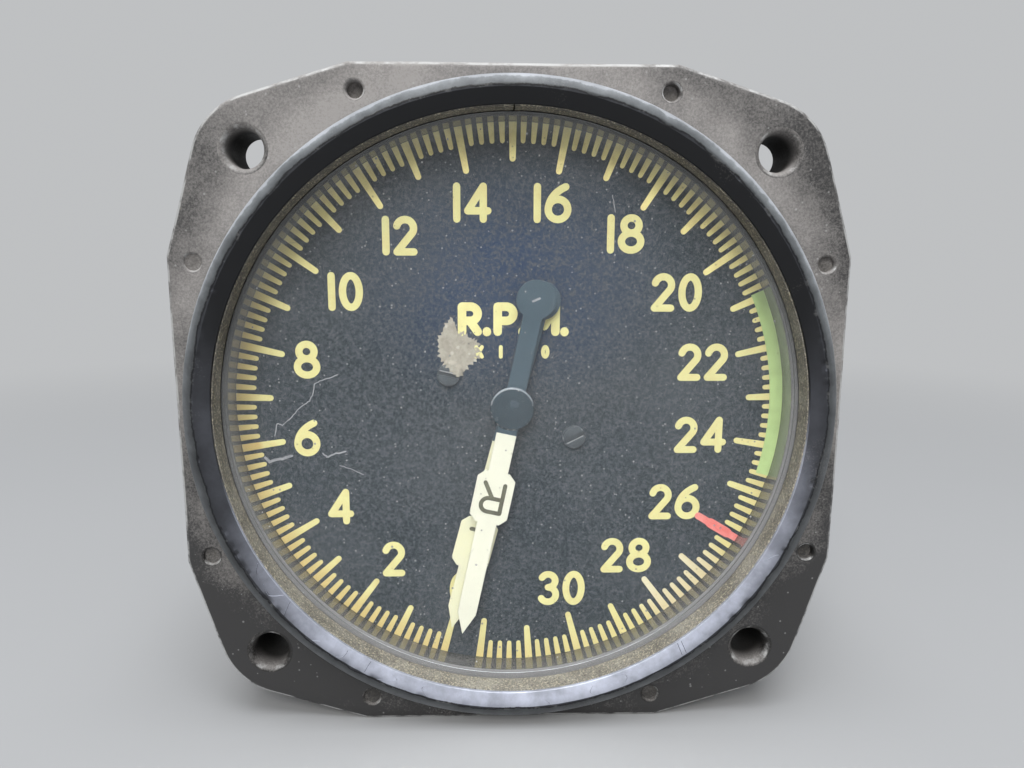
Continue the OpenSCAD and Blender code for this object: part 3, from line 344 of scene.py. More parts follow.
def joined(name, meshes, sharp=SHARP_DEGREES):
    """One mesh of several that stay separate solids."""
    work = bmesh.new()
    for mesh in meshes:
        work.from_mesh(mesh)
    whole = bpy.data.meshes.new(name)
    work.to_mesh(whole)
    work.free()
    return shaded(whole, sharp)


def moved(mesh, shift, spin=0.0):
    """A copy of a mesh, turned clockwise about the dial's axis and then shifted."""
    copy = mesh.copy()
    copy.transform(Matrix.Translation(shift) @ Matrix.Rotation(spin, 4, "Y"))
    return copy


def cut(mesh, cutters, sharp=SHARP_DEGREES, outside=None, walls=None):
    """The mesh with every cutter taken out of it, and a finish of its own for the cut walls."""
    body = bpy.data.objects.new("cut_body", mesh)
    tool = bpy.data.objects.new("cut_tool", joined("cut_tool", cutters))
    for thing in (body, tool):
        bpy.context.scene.collection.objects.link(thing)
    modifier = body.modifiers.new("cut", "BOOLEAN")
    modifier.operation = "DIFFERENCE"
    modifier.solver = "EXACT"
    if walls:
        mesh.materials.append(outside)
        tool.data.materials.append(walls)
        modifier.material_mode = "TRANSFER"
    modifier.object = tool
    settled = body.evaluated_get(bpy.context.evaluated_depsgraph_get())
    result = bpy.data.meshes.new_from_object(settled)
    bpy.data.objects.remove(body)
    bpy.data.objects.remove(tool)
    return cleaned(result, sharp)


def rounded(corners, steps=5):
    """A closed outline of (a, b, radius) corners, each turned into an arc of its radius."""
    outline = []
    for i, (a, b, radius) in enumerate(corners):
        here = Vector((a, b))
        if radius <= 0:
            outline.append(here)
            continue
        to_last = (Vector(corners[i - 1][:2]) - here).normalized()
        to_next = (Vector(corners[(i + 1) % len(corners)][:2]) - here).normalized()
        half = to_last.angle(to_next) / 2
        middle = here + (to_last + to_next).normalized() * (radius / math.sin(half))
        start = here + to_last * (radius / math.tan(half)) - middle
        end = here + to_next * (radius / math.tan(half)) - middle
        begin = math.atan2(start.y, start.x)
        sweep = (math.atan2(end.y, end.x) - begin + math.pi) % FULL_TURN - math.pi
        for k in range(steps + 1):
            bend = begin + sweep * k / steps
            outline.append(middle + Vector((math.cos(bend), math.sin(bend))) * radius)
    return outline


def ring_corners(inner, outer, y_front, y_back, *roundings):
    """Corners of a plain ring's section with their roundings, from the inner front round by the outside."""
    spots = ((inner, y_front), (outer, y_front), (outer, y_back), (inner, y_back))
    return [(*spot, rounding) for spot, rounding in zip(spots, (*roundings, 0, 0, 0, 0))]


def ring_faces(steps, number, rows):
    """Faces between closed rows of points; with as many steps as rows, the last row meets the first."""
    faces = []
    for j in range(steps):
        this_row = j * number
        next_row = (j + 1) % rows * number
        for i in range(number):
            k = (i + 1) % number
            faces.append((this_row + i, this_row + k, next_row + k, next_row + i))
    return faces


def lathe(name, outline, steps=192, reshape=None, arc=None, sharp=SHARP_DEGREES):
    """Turns a closed outline of (radius, y) points about the Y axis, all round or over an arc."""
    begin, sweep = arc or (0.0, FULL_TURN)
    rows = steps if arc is None else steps + 1
    points = []
    for j in range(rows):
        angle = begin + sweep * j / steps
        for radius, y in outline:
            if reshape:
                radius, y = reshape(angle, radius, y)
            points.append((radius * math.sin(angle), y, radius * math.cos(angle)))
    n = len(outline)
    faces = ring_faces(steps, n, rows)
    if arc is not None:
        faces.append(tuple(range(n)))
        faces.append(tuple(range(steps * n, rows * n)))
    return solid(name, points, faces, sharp)


def square_reach(angle, half, flat, slope, corner):
    """Distance from the middle of a square to its edge, where slope and corner draw its corners in."""
    turned = abs((angle + math.pi / 4) % (math.pi / 2) - math.pi / 4)
    ray = Vector((math.cos(turned), math.sin(turned)))
    slant = Vector((math.cos(slope), math.sin(slope)))
    slant_far = slant.x * half + slant.y * flat / 2
    distance = min(half / ray.x, slant_far / slant.dot(ray))
    centre = (slant_far - corner) / (slant.x + slant.y)
    along = (ray.x + ray.y) * centre
    inside = along ** 2 - 2 * centre ** 2 + corner ** 2
    if inside < 0:
        return distance
    far = along + math.sqrt(inside)
    hit = ray * far - Vector((centre, centre))
    if slope <= math.atan2(hit.y, hit.x) <= math.pi / 2 - slope:
        return far
    return distance


def plate(name, edge, bore, y_front, y_back, rounding, steps=720, rings=6, dent=0.0):
    """A flat plate with a round bore, whose outer edge is a distance that depends on the angle."""
    arc_steps = 5
    bends = [math.pi / 2 * k / arc_steps for k in range(arc_steps + 1)]
    corner = [(rounding * (1 - math.sin(bend)), rounding * (1 - math.cos(bend))) for bend in bends]
    section = [(0.0, y_front, t / rings) for t in range(rings)]
    section += [(inset, y_front + lift, 1.0) for inset, lift in corner]
    section += [(inset, y_back - lift, 1.0) for inset, lift in reversed(corner)]
    section += [(0.0, y_back, t / rings) for t in range(rings - 1, -1, -1)]
    points = []
    for j in range(steps):
        angle = FULL_TURN * j / steps
        far = edge(angle)
        for inset, y, share in section:
            at_edge = share == 1.0
            radius = far - inset if at_edge else bore + (far - rounding - bore) * share
            spot = Vector((radius * math.sin(angle), y, radius * math.cos(angle)))
            if dent and at_edge:
                spot += Vector((spot.x, 0, spot.z)).normalized() * dent * noise.noise(spot * 90)
                spot.y += 0.5 * dent * noise.noise(spot * 140)
            points.append(spot)
    return solid(name, points, ring_faces(steps, len(section), steps))


def slab(name, outline, y_front, thickness, edge=0.0):
    """A flat piece of an (x, z) outline, with an optional small bevel round its front."""
    work = bmesh.new()
    ring = [work.verts.new((p[0], y_front + thickness, p[1])) for p in outline]
    base = work.faces.new(ring)
    grown = bmesh.ops.extrude_face_region(work, geom=[base])
    raised = [e for e in grown["geom"] if isinstance(e, bmesh.types.BMVert)]
    bmesh.ops.translate(work, verts=raised, vec=(0, -thickness, 0))
    if edge > 0:
        rim = [e for e in grown["geom"] if isinstance(e, bmesh.types.BMEdge)]
        bmesh.ops.bevel(work, geom=rim, offset=edge, segments=2, profile=0.5, affect="EDGES")
    mesh = bpy.data.meshes.new(name)
    work.to_mesh(mesh)
    work.free()
    return cleaned(mesh)


def stroke(points, width, y_front, y_back, ends=(True, True), closed=False, narrow=1.0):
    """Points and faces of a raised stroke along (x, z) points, with round or flat ends.

    Its width at the first point may be a narrower share of its width at the last."""
    n = len(points)
    halves = [width / 2 * (narrow + (1 - narrow) * i / (n - 1)) for i in range(n)]
    sides = []
    for i, here in enumerate(points):
        runs = []
        if closed or i:
            runs.append((here - points[i - 1]).normalized())
        if closed or i < n - 1:
            runs.append((points[(i + 1) % n] - here).normalized())
        along = sum(runs, Vector((0, 0))).normalized()
        across = Vector((-along.y, along.x))
        sides.append((across * halves[i] / max(0.5, along.dot(runs[0])), along))
    left = [p + s[0] for p, s in zip(points, sides)]
    right = [p - s[0] for p, s in zip(points, sides)]
    flat = left + right
    tops = []
    for i in range(n if closed else n - 1):
        k = (i + 1) % n
        tops.append([i, k, n + k, n + i])
    there = list(range(n))
    and_back = list(range(2 * n - 1, n - 1, -1))
    if closed:
        borders = [there, and_back]
    else:
        end_cap = cap(flat, points[-1], sides[-1][1], halves[-1]) if ends[1] else []
        start_cap = cap(flat, points[0], -sides[0][1], halves[0]) if ends[0] else []
        if end_cap:
            tops.append([n - 1] + end_cap + [2 * n - 1])
        if start_cap:
            tops.append([n] + start_cap + [0])
        borders = [there + end_cap + and_back + start_cap]
    m = len(flat)
    spots = [(p.x, y, p.y) for y in (y_front, y_back) for p in flat]
    faces = [tuple(t) for t in tops] + [tuple(m + i for i in reversed(t)) for t in tops]
    for border in borders:
        for i, a in enumerate(border):
            b = border[(i + 1) % len(border)]
            faces.append((a, m + a, m + b, b))
    return spots, faces


def cap(flat, middle, outward, half, steps=6):
    """Adds the points of a round end to a stroke's outline and returns their numbers."""
    begin = math.atan2(outward.x, -outward.y)
    added = []
    for k in range(1, steps):
        bend = begin - math.pi * k / steps
        flat.append(middle + Vector((math.cos(bend), math.sin(bend))) * half)
        added.append(len(flat) - 1)
    return added


class Marks:
    """Gathers painted strokes, each a hair higher than the last, into one piece."""

    def __init__(self, y_base, height):
        self.y_base = y_base
        self.height = height
        self.points = []
        self.faces = []
        self.lift = 0

    def draw(self, line, width, ends=(True, True), closed=False, narrow=1.0):
        """Draws a stroke along a line."""
        y_front = self.y_base - self.height - 0.001 * MM * (self.lift % 12)
        sunk = 0.02 * MM
        spots, faces = stroke(line, width, y_front, self.y_base + sunk, ends, closed, narrow)
        offset = len(self.points)
        self.points += spots
        self.faces += [tuple(offset + i for i in face) for face in faces]
        self.lift += 1

    def add(self, name, material, body="case", slot="dial_black"):
        """Adds the strokes as a piece."""
        mesh = bpy.data.meshes.new(name)
        mesh.from_pydata(self.points, [], self.faces)
        work = bmesh.new()
        work.from_mesh(mesh)
        bmesh.ops.recalc_face_normals(work, faces=work.faces)
        work.to_mesh(mesh)
        work.free()
        add_piece(name, shaded(mesh, 30), material, body, slot)


def on_dial(angle, radius):
    """The (x, z) place at a clockwise angle from the top."""
    return Vector((radius * math.sin(angle), radius * math.cos(angle)))


def add_piece(name, mesh, material, body, slot, *nodes):
    """Puts a piece on a body, in place of the nodes that it stands for."""
    piece = bpy.data.objects.new(name, mesh)
    bpy.context.scene.collection.objects.link(piece)
    if not mesh.materials:
        mesh.materials.append(material)
    weighting = piece.modifiers.new("even_shading", "WEIGHTED_NORMAL")
    weighting.keep_sharp = True
    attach(piece, body)
    if nodes:
        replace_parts(piece, *nodes)
    return piece


def turned_piece(name, corners, steps, material, slot, *nodes, arc=None):
    """Puts a ring or disc on the case, turned from (radius, y, rounding) corners."""
    add_piece(name, lathe(name, rounded(corners), steps, arc=arc), material, "case", slot, *nodes)


def refinish(node, material):
    """Gives a packed node a better finish."""
    slots = frame["nodes"][node].material_slots
    for entry in slots:
        entry.link = "OBJECT"
        entry.material = material
    if not slots:
        raise RuntimeError(node + " has no material slot")


# Letters and numerals, drawn in a box of height 1 with strokes inset by half their width

def arc_line(x, z, rx, rz, start, end, steps=18):
    """Points along part of an ellipse, between two angles in degrees, anticlockwise from the right."""
    line = []
    for k in range(steps + 1):
        bend = math.radians(start + (end - start) * k / steps)
        line.append(Vector((x + rx * math.cos(bend), z + rz * math.sin(bend))))
    return line


def arc_stroke(*values):
    """An open stroke along part of an ellipse."""
    return arc_line(*values), False


def ring_stroke(x, z, rx, rz):
    """A closed stroke all round an ellipse."""
    return arc_line(x, z, rx, rz, 0, 360, 36)[:-1], True


def straight(*ends):
    """An open stroke from end to end."""
    return [Vector(end) for end in ends], False


def curve_stroke(start, bend, end, steps=14):
    """An open stroke along a curve that is drawn towards a bend."""
    line = []
    for k in range(steps + 1):
        t = k / steps
        line.append(Vector(start) * (1 - t) ** 2 + Vector(bend) * 2 * t * (1 - t) + Vector(end) * t ** 2)
    return line, False


def glyph(sign, s):
    """Width of a sign and its strokes as (line, closed), for a stroke of half width s."""
    top = 1 - s
    widths = {"4": 0.7, "6": 0.69, "8": 0.69, "R": 0.72, "P": 0.72, "M": 0.92, "L": 0.56, "X": 0.7}
    wide = widths.get(sign, 0.62)
    half = wide / 2
    far = wide - s
    stem = straight((s, s), (s, top))
    if sign == "0":
        return wide, [ring_stroke(half, 0.5, half - s, 0.5 - s)]
    if sign == "1":
        return 2 * s, [stem]
    if sign == "2":
        r = half - s
        head = arc_line(half, top - r, r, r, 165, -32)
        return wide, [(head, False), straight(head[-1], (s, s)), straight((s, s), (far, s))]
    if sign == "4":
        upright = 0.7 * wide
        bar = 0.3
        return wide, [
            straight((upright, s), (upright, top)), straight((upright, top), (s, bar)),
            straight((s, bar), (far, bar))]
    if sign == "6":
        r = half - s
        back_line = curve_stroke((s, s + r), (s + 0.03, 0.72), (far - 0.06, top))
        return wide, [ring_stroke(half, s + r, r, r), back_line]
    if sign in "38":
        r_up = 0.19
        r_low = (1 - 2 * s - 2 * r_up) / 2
        upper = (half, top - r_up)
        lower = (half, s + r_low, half - s, r_low)
        if sign == "8":
            return wide, [ring_stroke(*upper, half - s - 0.055, r_up), ring_stroke(*lower)]
        return wide, [arc_stroke(*upper, half - s - 0.02, r_up, 150, -90), arc_stroke(*lower, 90, -150)]
    if sign == ".":
        middle = s + 0.03
        return 2 * s + 0.11, [straight((middle, s - 0.01), (middle, s + 0.01))]
    if sign in "RP":
        r = 0.21
        low = top - 2 * r
        bowl = [Vector((s, top)), *arc_line(far - r, top - r, r, r, 90, -90), Vector((s, low))]
        leg = [straight((half, low), (far, s))] if sign == "R" else []
        return wide, [stem, (bowl, False)] + leg
    if sign == "M":
        dip = (half, 0.3)
        return wide, [
            stem, straight((s, top), dip), straight(dip, (far, top)), straight((far, top), (far, s))]
    if sign == "L":
        return wide, [straight((s, top), (s, s)), straight((s, s), (far, s))]
    if sign == "X":
        return wide, [straight((s, s), (far, top)), straight((s, top), (far, s))]
    raise RuntimeError("no strokes for " + sign)


def write(marks, words, middle, height, width, gap, spin=0.0):
    """Draws a row of signs about a middle point, with a gap between signs, turned clockwise."""
    s = width / height / 2
    x = -row_width(words, height, width, gap) / height / 2
    for wide, strokes in [glyph(sign, s) for sign in words]:
        for line, closed in strokes:
            placed = []
            for p in line:
                spot = Vector(((p.x + x) * height, (p.y - 0.5) * height))
                spot.rotate(Matrix.Rotation(-spin, 2))
                if not placed or (spot + middle - placed[-1]).length > 0.01 * MM:
                    placed.append(spot + middle)
            marks.draw(placed, width, closed=closed)
        x += wide + gap / height


def row_width(words, height, width, gap):
    """Width of a row of signs."""
    s = width / height / 2
    return sum(glyph(sign, s)[0] for sign in words) * height + gap * (len(words) - 1)


def spread(marks, words, middle, height, width, half):
    """Writes a row of signs that fills a given half width on each side of a middle point."""
    bare = row_width(words, height, width, 0.0)
    gap = (2 * half - bare) / (len(words) - 1)
    write(marks, words, middle, height, width, gap)


# Shader nodes

class Value:
    """A number or colour that varies over a surface; sums and products of numbers are Math nodes."""

    def __init__(self, nodes, socket):
        self.nodes = nodes
        self.socket = socket

    def __add__(self, other):
        return self.nodes.calc("ADD", self, other)

    def __sub__(self, other):
        return self.nodes.calc("SUBTRACT", self, other)

    def __rsub__(self, other):
        return self.nodes.calc("SUBTRACT", other, self)

    def __mul__(self, other):
        return self.nodes.calc("MULTIPLY", self, other)

    def __abs__(self):
        return self.nodes.calc("ABSOLUTE", self)

    def at_least(self, other):
        """The larger of two numbers."""
        return self.nodes.calc("MAXIMUM", self, other)


class Nodes:
    """The nodes of a finish, an effect or the sky."""

    def __init__(self, tree):
        self.tree = tree
        self.shader = self.found("BSDF_PRINCIPLED", "BACKGROUND")
        self.end = self.found("OUTPUT_MATERIAL", "OUTPUT_WORLD")

    def found(self, *kinds):
        """The first node of some kinds, or none."""
        return next((node for node in self.tree.nodes if node.type in kinds), None)

    def fill(self, socket, value):
        """Links an input to a value, or sets it to a plain one."""
        if isinstance(value, Value):
            value = value.socket
        if isinstance(value, bpy.types.NodeSocket):
            self.tree.links.new(value, socket)
        elif socket.type == "RGBA":
            socket.default_value = (*value, 1.0)
        else:
            socket.default_value = value

    def put(self, kind, inputs=None, **options):
        """Adds a node, sets its options and fills its inputs."""
        node = self.tree.nodes.new("ShaderNode" + kind)
        for option, value in options.items():
            setattr(node, option, value)
        for key, value in (inputs or {}).items():
            self.fill(node.inputs[key], value)
        return node

    def value(self, kind, inputs=None, output=0, **options):
        """An output of a new node."""
        return Value(self, self.put(kind, inputs, **options).outputs[output])

    def calc(self, operation, *numbers):
        """Result of a Math node."""
        return self.value("Math", dict(enumerate(numbers)), operation=operation)

    def ramp(self, number, low, high, to_low=0.0, to_high=1.0):
        """A number mapped smoothly from one range to another."""
        inputs = dict(enumerate((number, low, high, to_low, to_high)))
        return self.value("MapRange", inputs, interpolation_type="SMOOTHSTEP")

    def mix(self, share, first, second):
        """Colour between two others, by a share."""
        return self.value("Mix", {0: share, 6: first, 7: second}, 2, data_type="RGBA")

    def place(self, axis=None):
        """Place on the piece in metres, or its part along an axis."""
        spot = self.value("TexCoord", output="Object")
        return self.value("SeparateXYZ", {0: spot}, axis) if axis else spot

    def facing(self, axis):
        """Share of the surface's normal along an axis."""
        normal = self.value("NewGeometry", output="Normal")
        return self.value("SeparateXYZ", {0: normal}, axis)

    def away(self, across, up):
        """Distance of a flat place from the middle."""
        flat = self.value("CombineXYZ", {0: across, 1: up})
        return self.value("VectorMath", {0: flat}, "Value", operation="LENGTH")

    def reach(self):
        """Distance from the dial's axis, in metres."""
        return self.away(self.place("X"), self.place("Z"))

    def cloud(self, scale, detail=4.0, rough=0.55, vector=None):
        """A noise of a given scale, per metre."""
        spot = vector or self.place()
        return self.value("TexNoise", {"Vector": spot, "Scale": scale, "Detail": detail, "Roughness": rough})

    def bump(self, height, strength, depth):
        """Normal of a surface with a height of up to a depth in millimetres."""
        return self.value("Bump", {"Height": height, "Strength": strength, "Distance": depth * MM})

    def cast_bump(self, scale, strength, depth):
        """Normal of a cast and painted surface, with a grain of a given scale."""
        return self.bump(cast_grain(self, scale=scale), strength, depth)

    def feed(self, **inputs):
        """Fills the shader's inputs."""
        for label, value in inputs.items():
            self.fill(self.shader.inputs[label.replace("_", " ")], value)

    def show(self, share, other):
        """Shows another shader in place of the first, by a share."""
        mixed = self.put("MixShader", {0: share, 1: self.shader.outputs[0], 2: other.outputs[0]})
        self.fill(self.end.inputs["Surface"], mixed.outputs[0])


def effect(label, output, **defaults):
    """Makes a recipe into a shader node group, built once, which a finish places among its own nodes."""
    def built(recipe):
        tree = bpy.data.node_groups.new(label, "ShaderNodeTree")
        for key, value in defaults.items():
            socket = tree.interface.new_socket(
                name=key.title(), in_out="INPUT", socket_type="NodeSocketFloat")
            socket.default_value = value
        tree.interface.new_socket(name=output, in_out="OUTPUT", socket_type="NodeSocketFloat")
        nodes = Nodes(tree)
        given = tree.nodes.new("NodeGroupInput").outputs
        end = tree.nodes.new("NodeGroupOutput")
        values = [Value(nodes, given[key.title()]) for key in defaults]
        nodes.fill(end.inputs[output], recipe(nodes, *values))
        return tree

    def wrap(recipe):
        def placed(nodes, **values):
            group = bpy.data.node_groups.get(label) or built(recipe)
            inputs = {key.title(): value for key, value in values.items()}
            return nodes.value("Group", inputs, node_tree=group)

        placed.__doc__ = recipe.__doc__
        return placed

    return wrap


@effect("Edge wear", "Mask", scale=500.0, amount=0.5)
def edge_wear(nodes, scale, amount):
    """Mask of worn roundings and countersinks, which face neither along the dial's axis nor across it."""
    along = abs(nodes.facing("Y"))
    sharp = nodes.ramp(along, 0.2, 0.5) * nodes.ramp(along, 0.97, 0.85)
    low = 0.85 - amount
    return sharp * nodes.ramp(nodes.cloud(scale, 5.0, 0.65), low, low + 0.22)


@effect("Dust film", "Mask", scale=60.0, amount=0.2, settle=0.5, rise=0.4)
def dust_film(nodes, scale, amount, settle, rise):
    """Mask of dust, thicker on what faces up and towards the top of the piece."""
    settled = nodes.ramp(nodes.facing("Z"), 0.05, 0.9) * settle
    higher = nodes.ramp(nodes.place("Z"), -45 * MM, 45 * MM) * rise
    broad = nodes.ramp(nodes.cloud(scale, 6.0, 0.6), 0.3, 0.7, -0.28, 0.28)
    fine = nodes.ramp(nodes.cloud(4200.0, 3.0, 0.75), 0.3, 0.7, -0.2, 0.2)
    return nodes.value("Clamp", {"Value": settled + higher + amount + broad + fine})


@effect("Specks", "Mask", scale=700.0, share=0.3, size=0.35)
def specks(nodes, scale, share, size):
    """Mask of small round specks of differing size."""
    cells = nodes.put("TexVoronoi", {"Vector": nodes.place(), "Scale": scale}).outputs
    draw = nodes.value("SeparateColor", {0: cells["Color"]})
    radius = nodes.ramp(draw, 1.0 - share, 1.0) * size + 0.001
    return nodes.ramp(cells["Distance"], radius, radius * 0.5)


@effect("Fine scratches", "Mask", scale=60.0, width=0.004)
def fine_scratches(nodes, scale, width):
    """Mask of thin wandering scratches."""
    band = abs(nodes.cloud(scale, 2.0, 0.5) - 0.5)
    return nodes.ramp(band, width, 0.0) * nodes.ramp(nodes.cloud(180.0, 2.0), 0.52, 0.62)


@effect("Cast grain", "Height", scale=700.0)
def cast_grain(nodes, scale):
    """Height of a cast and painted surface."""
    return nodes.cloud(scale, 5.0, 0.6) + nodes.cloud(scale * 4.5, 3.0, 0.7) * 0.5


@effect("Turned grain", "Height", scale=6000.0)
def turned_grain(nodes, scale):
    """Height of the fine rings that a lathe leaves about the Y axis."""
    ringed = nodes.value("CombineXYZ", {0: nodes.reach(), 1: nodes.place("Y")})
    return nodes.cloud(scale, 3.0, 0.7, ringed)


# Finishes

def finish(recipe):
    """Makes a recipe into a finish that is built once, under its own name beside the packed slot's."""
    def made(name=recipe.__name__, *values, **options):
        title = name + "_finish"
        material = bpy.data.materials.get(title)
        if material is None:
            material = bpy.data.materials.new(title)
            material.use_nodes = True
            recipe(Nodes(material.node_tree), finishes(), *values, **options)
        return material

    made.__doc__ = recipe.__doc__
    return made


@finish
def case_paint(nodes, look):
    """Black paint on cast metal, dusty above and worn to metal at its edges."""
    y_flange = back("bezel_ring")
    # Dust that falls away from the bezel: dust, and painted light that lifts the bezel's shade on the flange
    # beside it
    dust_and_light_near_bezel = nodes.ramp(nodes.reach(), 41 * MM, 46 * MM, 0.12, -0.34)
    # Painted shade: less dust, so darker, just below the bezel on the lower flange
    shade_below_bezel = nodes.ramp(nodes.reach(), 42 * MM, 46 * MM, -0.22, 0.0)
    shade_below_bezel = shade_below_bezel * nodes.ramp(nodes.place("Z"), -12 * MM, -34 * MM)
    behind = nodes.ramp(nodes.place("Y"), y_flange + 3 * MM, y_flange + 8 * MM, 0.0, -0.95)
    amount = dust_and_light_near_bezel + shade_below_bezel + behind
    dust = dust_film(nodes, scale=70.0, amount=amount, settle=0.35, rise=0.68)
    worn = edge_wear(nodes, scale=420.0, amount=0.5)
    flecks = specks(nodes, scale=1300.0, share=0.35, size=0.24)
    shade = nodes.mix(dust, look.case_black, look.case_dust)
    shade = nodes.mix(flecks * 0.3, shade, look.worn_metal)
    shade = nodes.mix(worn, shade, look.worn_metal)
    nodes.feed(
        Base_Color=shade, Metallic=worn * 0.6, Roughness=nodes.ramp(dust, 0.0, 1.0, 0.42, 0.8),
        Normal=nodes.cast_bump(750.0, 0.55, 0.12))


@finish
def hole_paint(nodes, look):
    """Walls of the flange's holes: dusty and worn at the lip, black further in."""
    y_front = back("bezel_ring")
    lip = nodes.ramp(nodes.place("Y"), y_front + 3.2 * MM, y_front + 0.4 * MM)
    dust = dust_film(nodes, scale=90.0, amount=-0.1, settle=0.6, rise=0.6)
    worn = edge_wear(nodes, scale=380.0, amount=0.36)
    shade = nodes.mix(dust * lip, (0.016, 0.015, 0.014), look.case_dust)
    shade = nodes.mix(worn * lip, shade, look.worn_metal)
    nodes.feed(
        Base_Color=shade, Roughness=nodes.ramp(dust, 0.0, 1.0, 0.5, 0.85),
        Normal=nodes.cast_bump(900.0, 0.35, 0.08))


@finish
def packed_dirt(nodes, look):
    """Coarse dust packed into the flange's small holes."""
    dust = dust_film(nodes, scale=300.0, amount=0.05, settle=0.0, rise=0.6)
    grains = nodes.ramp(nodes.cloud(3200.0, 3.0, 0.75), 0.35, 0.7, 0.0, 0.5)
    shade = nodes.mix(dust, look.case_black, look.case_dust)
    shade = nodes.mix(grains, shade, look.ring_brown)
    nodes.feed(
        Base_Color=shade, Roughness=nodes.ramp(dust, 0.0, 1.0, 0.7, 0.95),
        Normal=nodes.cast_bump(1500.0, 0.6, 0.1))


@finish
def bezel_enamel(nodes, look):
    """Black enamel, worn at its crest and brow, and bloomed grey where its inner slope faces up."""
    crest = sizes("front").crest
    outer = reach("bezel_ring")
    edge = nodes.reach() + (nodes.cloud(330.0, 6.0, 0.7) - 0.5) * (1.3 * MM)
    slope = nodes.ramp(edge, crest + 0.02 * MM, crest - 0.14 * MM)
    slope = slope * nodes.ramp(nodes.reach(), crest, crest - 1.2 * MM, 0.7, 1.03)
    mottle = nodes.ramp(nodes.cloud(260.0, 5.0, 0.65), 0.3, 0.75, 0.55, 1.0)
    # Painted highlight: the inner slope turns bluish grey and partly metallic where its normal faces up
    up = nodes.facing("Z")
    upward = nodes.ramp(nodes.facing("X") * -0.12 + up, 0.02, 0.3)
    upward = upward.at_least(nodes.ramp(up, -0.12, 0.0, 0.0, 0.08))
    inner_slope_highlight = slope * mottle * upward
    # Brow: worn grey paint and a painted highlight that grows towards the outer edge and where the face
    # turns up
    outside = nodes.ramp(edge, crest + 0.05 * MM, crest + 0.2 * MM)
    rising = nodes.ramp(edge, crest + 0.2 * MM, outer, 0.4, 1.0)
    brow = rising * outside * mottle * nodes.ramp(up, -0.08, 0.45, 0.5, 1.25)
    # Painted highlight: a pale line on the outer edge, only where it faces up
    rim = nodes.ramp(edge, outer - 0.45 * MM, outer - 0.25 * MM) * nodes.ramp(up, 0.1, 0.4)
    chipped = nodes.ramp(nodes.cloud(520.0, 4.0, 0.7), 0.56, 0.72, 0.0, 0.14)
    worn = nodes.ramp(abs(edge - crest), 0.3 * MM, 0.05 * MM) * chipped
    dust = dust_film(nodes, scale=120.0, amount=-0.3, settle=0.3, rise=0.0)
    shade = nodes.mix(dust, look.bezel_black, look.case_dust)
    shade = nodes.mix(brow, shade, look.bezel_brow)
    shade = nodes.mix(rim * mottle, shade, look.bezel_rim)
    shade = nodes.mix(inner_slope_highlight, shade, look.bezel_bloom)
    shade = nodes.mix(worn, shade, look.worn_metal)
    nodes.feed(
        Base_Color=shade, Metallic=inner_slope_highlight * 0.45, Specular_IOR_Level=0.25,
        Roughness=nodes.ramp(nodes.cloud(420.0, 4.0), 0.3, 0.7, 0.3, 0.5),
        Normal=nodes.cast_bump(420.0, 0.3, 0.08))


@finish
def ring_grime(nodes, look):
    """Brown grime with pale specks, on the wall in front of the glass."""
    inward = nodes.facing("X") * -0.15 + nodes.facing("Z")
    lower = nodes.ramp(inward, -0.75, 0.1, -0.1, 0.55)
    dust = dust_film(nodes, scale=240.0, amount=lower, settle=0.0, rise=0.0)
    grains = nodes.ramp(nodes.cloud(3700.0, 2.0, 0.7), 0.52, 0.66, 0.0, 0.75)
    pits = nodes.ramp(nodes.cloud(3000.0, 2.0, 0.7), 0.46, 0.34, 0.0, 0.75)
    shade = nodes.mix(dust, look.ring_brown, look.ring_dust)
    shade = nodes.mix(pits, shade, look.ring_brown)
    shade = nodes.mix(grains, shade, look.ring_gold)
    nodes.feed(
        Base_Color=shade, Roughness=nodes.ramp(dust, 0.0, 1.0, 0.6, 0.9),
        Normal=nodes.cast_bump(1400.0, 0.6, 0.08))


@finish
def clear_glass(nodes, look):
    """Clear glass that lets the lamps through to the dial."""
    nodes.feed(
        Base_Color=(1.0, 1.0, 1.0), Metallic=0.0, Transmission_Weight=1.0, IOR=1.33,
        Roughness=nodes.ramp(nodes.cloud(90.0, 3.0), 0.3, 0.7, 0.0, 0.02))
    nodes.show(nodes.value("LightPath", output="Is Shadow Ray"), nodes.put("BsdfTransparent"))


@finish
def glass_dust(nodes, look):
    """Thin dust and specks on the glass, thicker towards its edge."""
    rim = nodes.ramp(nodes.reach(), 33.0 * MM, 36.4 * MM, 0.0, 0.16)
    film = nodes.ramp(nodes.cloud(55.0, 5.0, 0.6), 0.3, 0.75, 0.006, 0.03)
    flecks = specks(nodes, scale=1300.0, share=0.3, size=0.24)
    hairs = fine_scratches(nodes, scale=38.0, width=0.0022)
    veil = rim + film + hairs * 0.06
    shade = nodes.mix(nodes.cloud(150.0), (0.5, 0.52, 0.54), (0.72, 0.73, 0.72))
    nodes.feed(Base_Color=shade, Roughness=0.9, Specular_IOR_Level=0.1, Alpha=veil.at_least(flecks * 0.42))


@finish
def spacer_satin(nodes, look):
    """Satin black paint that mirrors the ends of the ticks."""
    dust = nodes.ramp(nodes.cloud(900.0, 3.0, 0.6), 0.3, 0.7, 0.1, 0.28)
    nodes.feed(
        Base_Color=nodes.mix(dust, look.spacer_gloss, look.ring_dust), Metallic=1.0 - dust,
        Roughness=nodes.ramp(dust, 0.1, 0.28, 0.02, 0.07))


@finish
def dusty_rubber(nodes, look):
    """Rubber with dust that has slid down to its lower part, most of it on the right."""
    slid = nodes.place("X") * 0.35 - nodes.place("Z")
    mottle = nodes.ramp(nodes.cloud(1500.0, 3.0, 0.7), 0.3, 0.7, -5 * MM, 5 * MM)
    # Paler towards the bottom and the right
    dust = nodes.ramp(slid + mottle, -30 * MM, 24 * MM)
    shade = nodes.mix(dust, (0.012, 0.012, 0.011), (0.2, 0.2, 0.205))
    nodes.feed(Base_Color=shade, Roughness=nodes.ramp(dust, 0.0, 1.0, 0.5, 0.8))


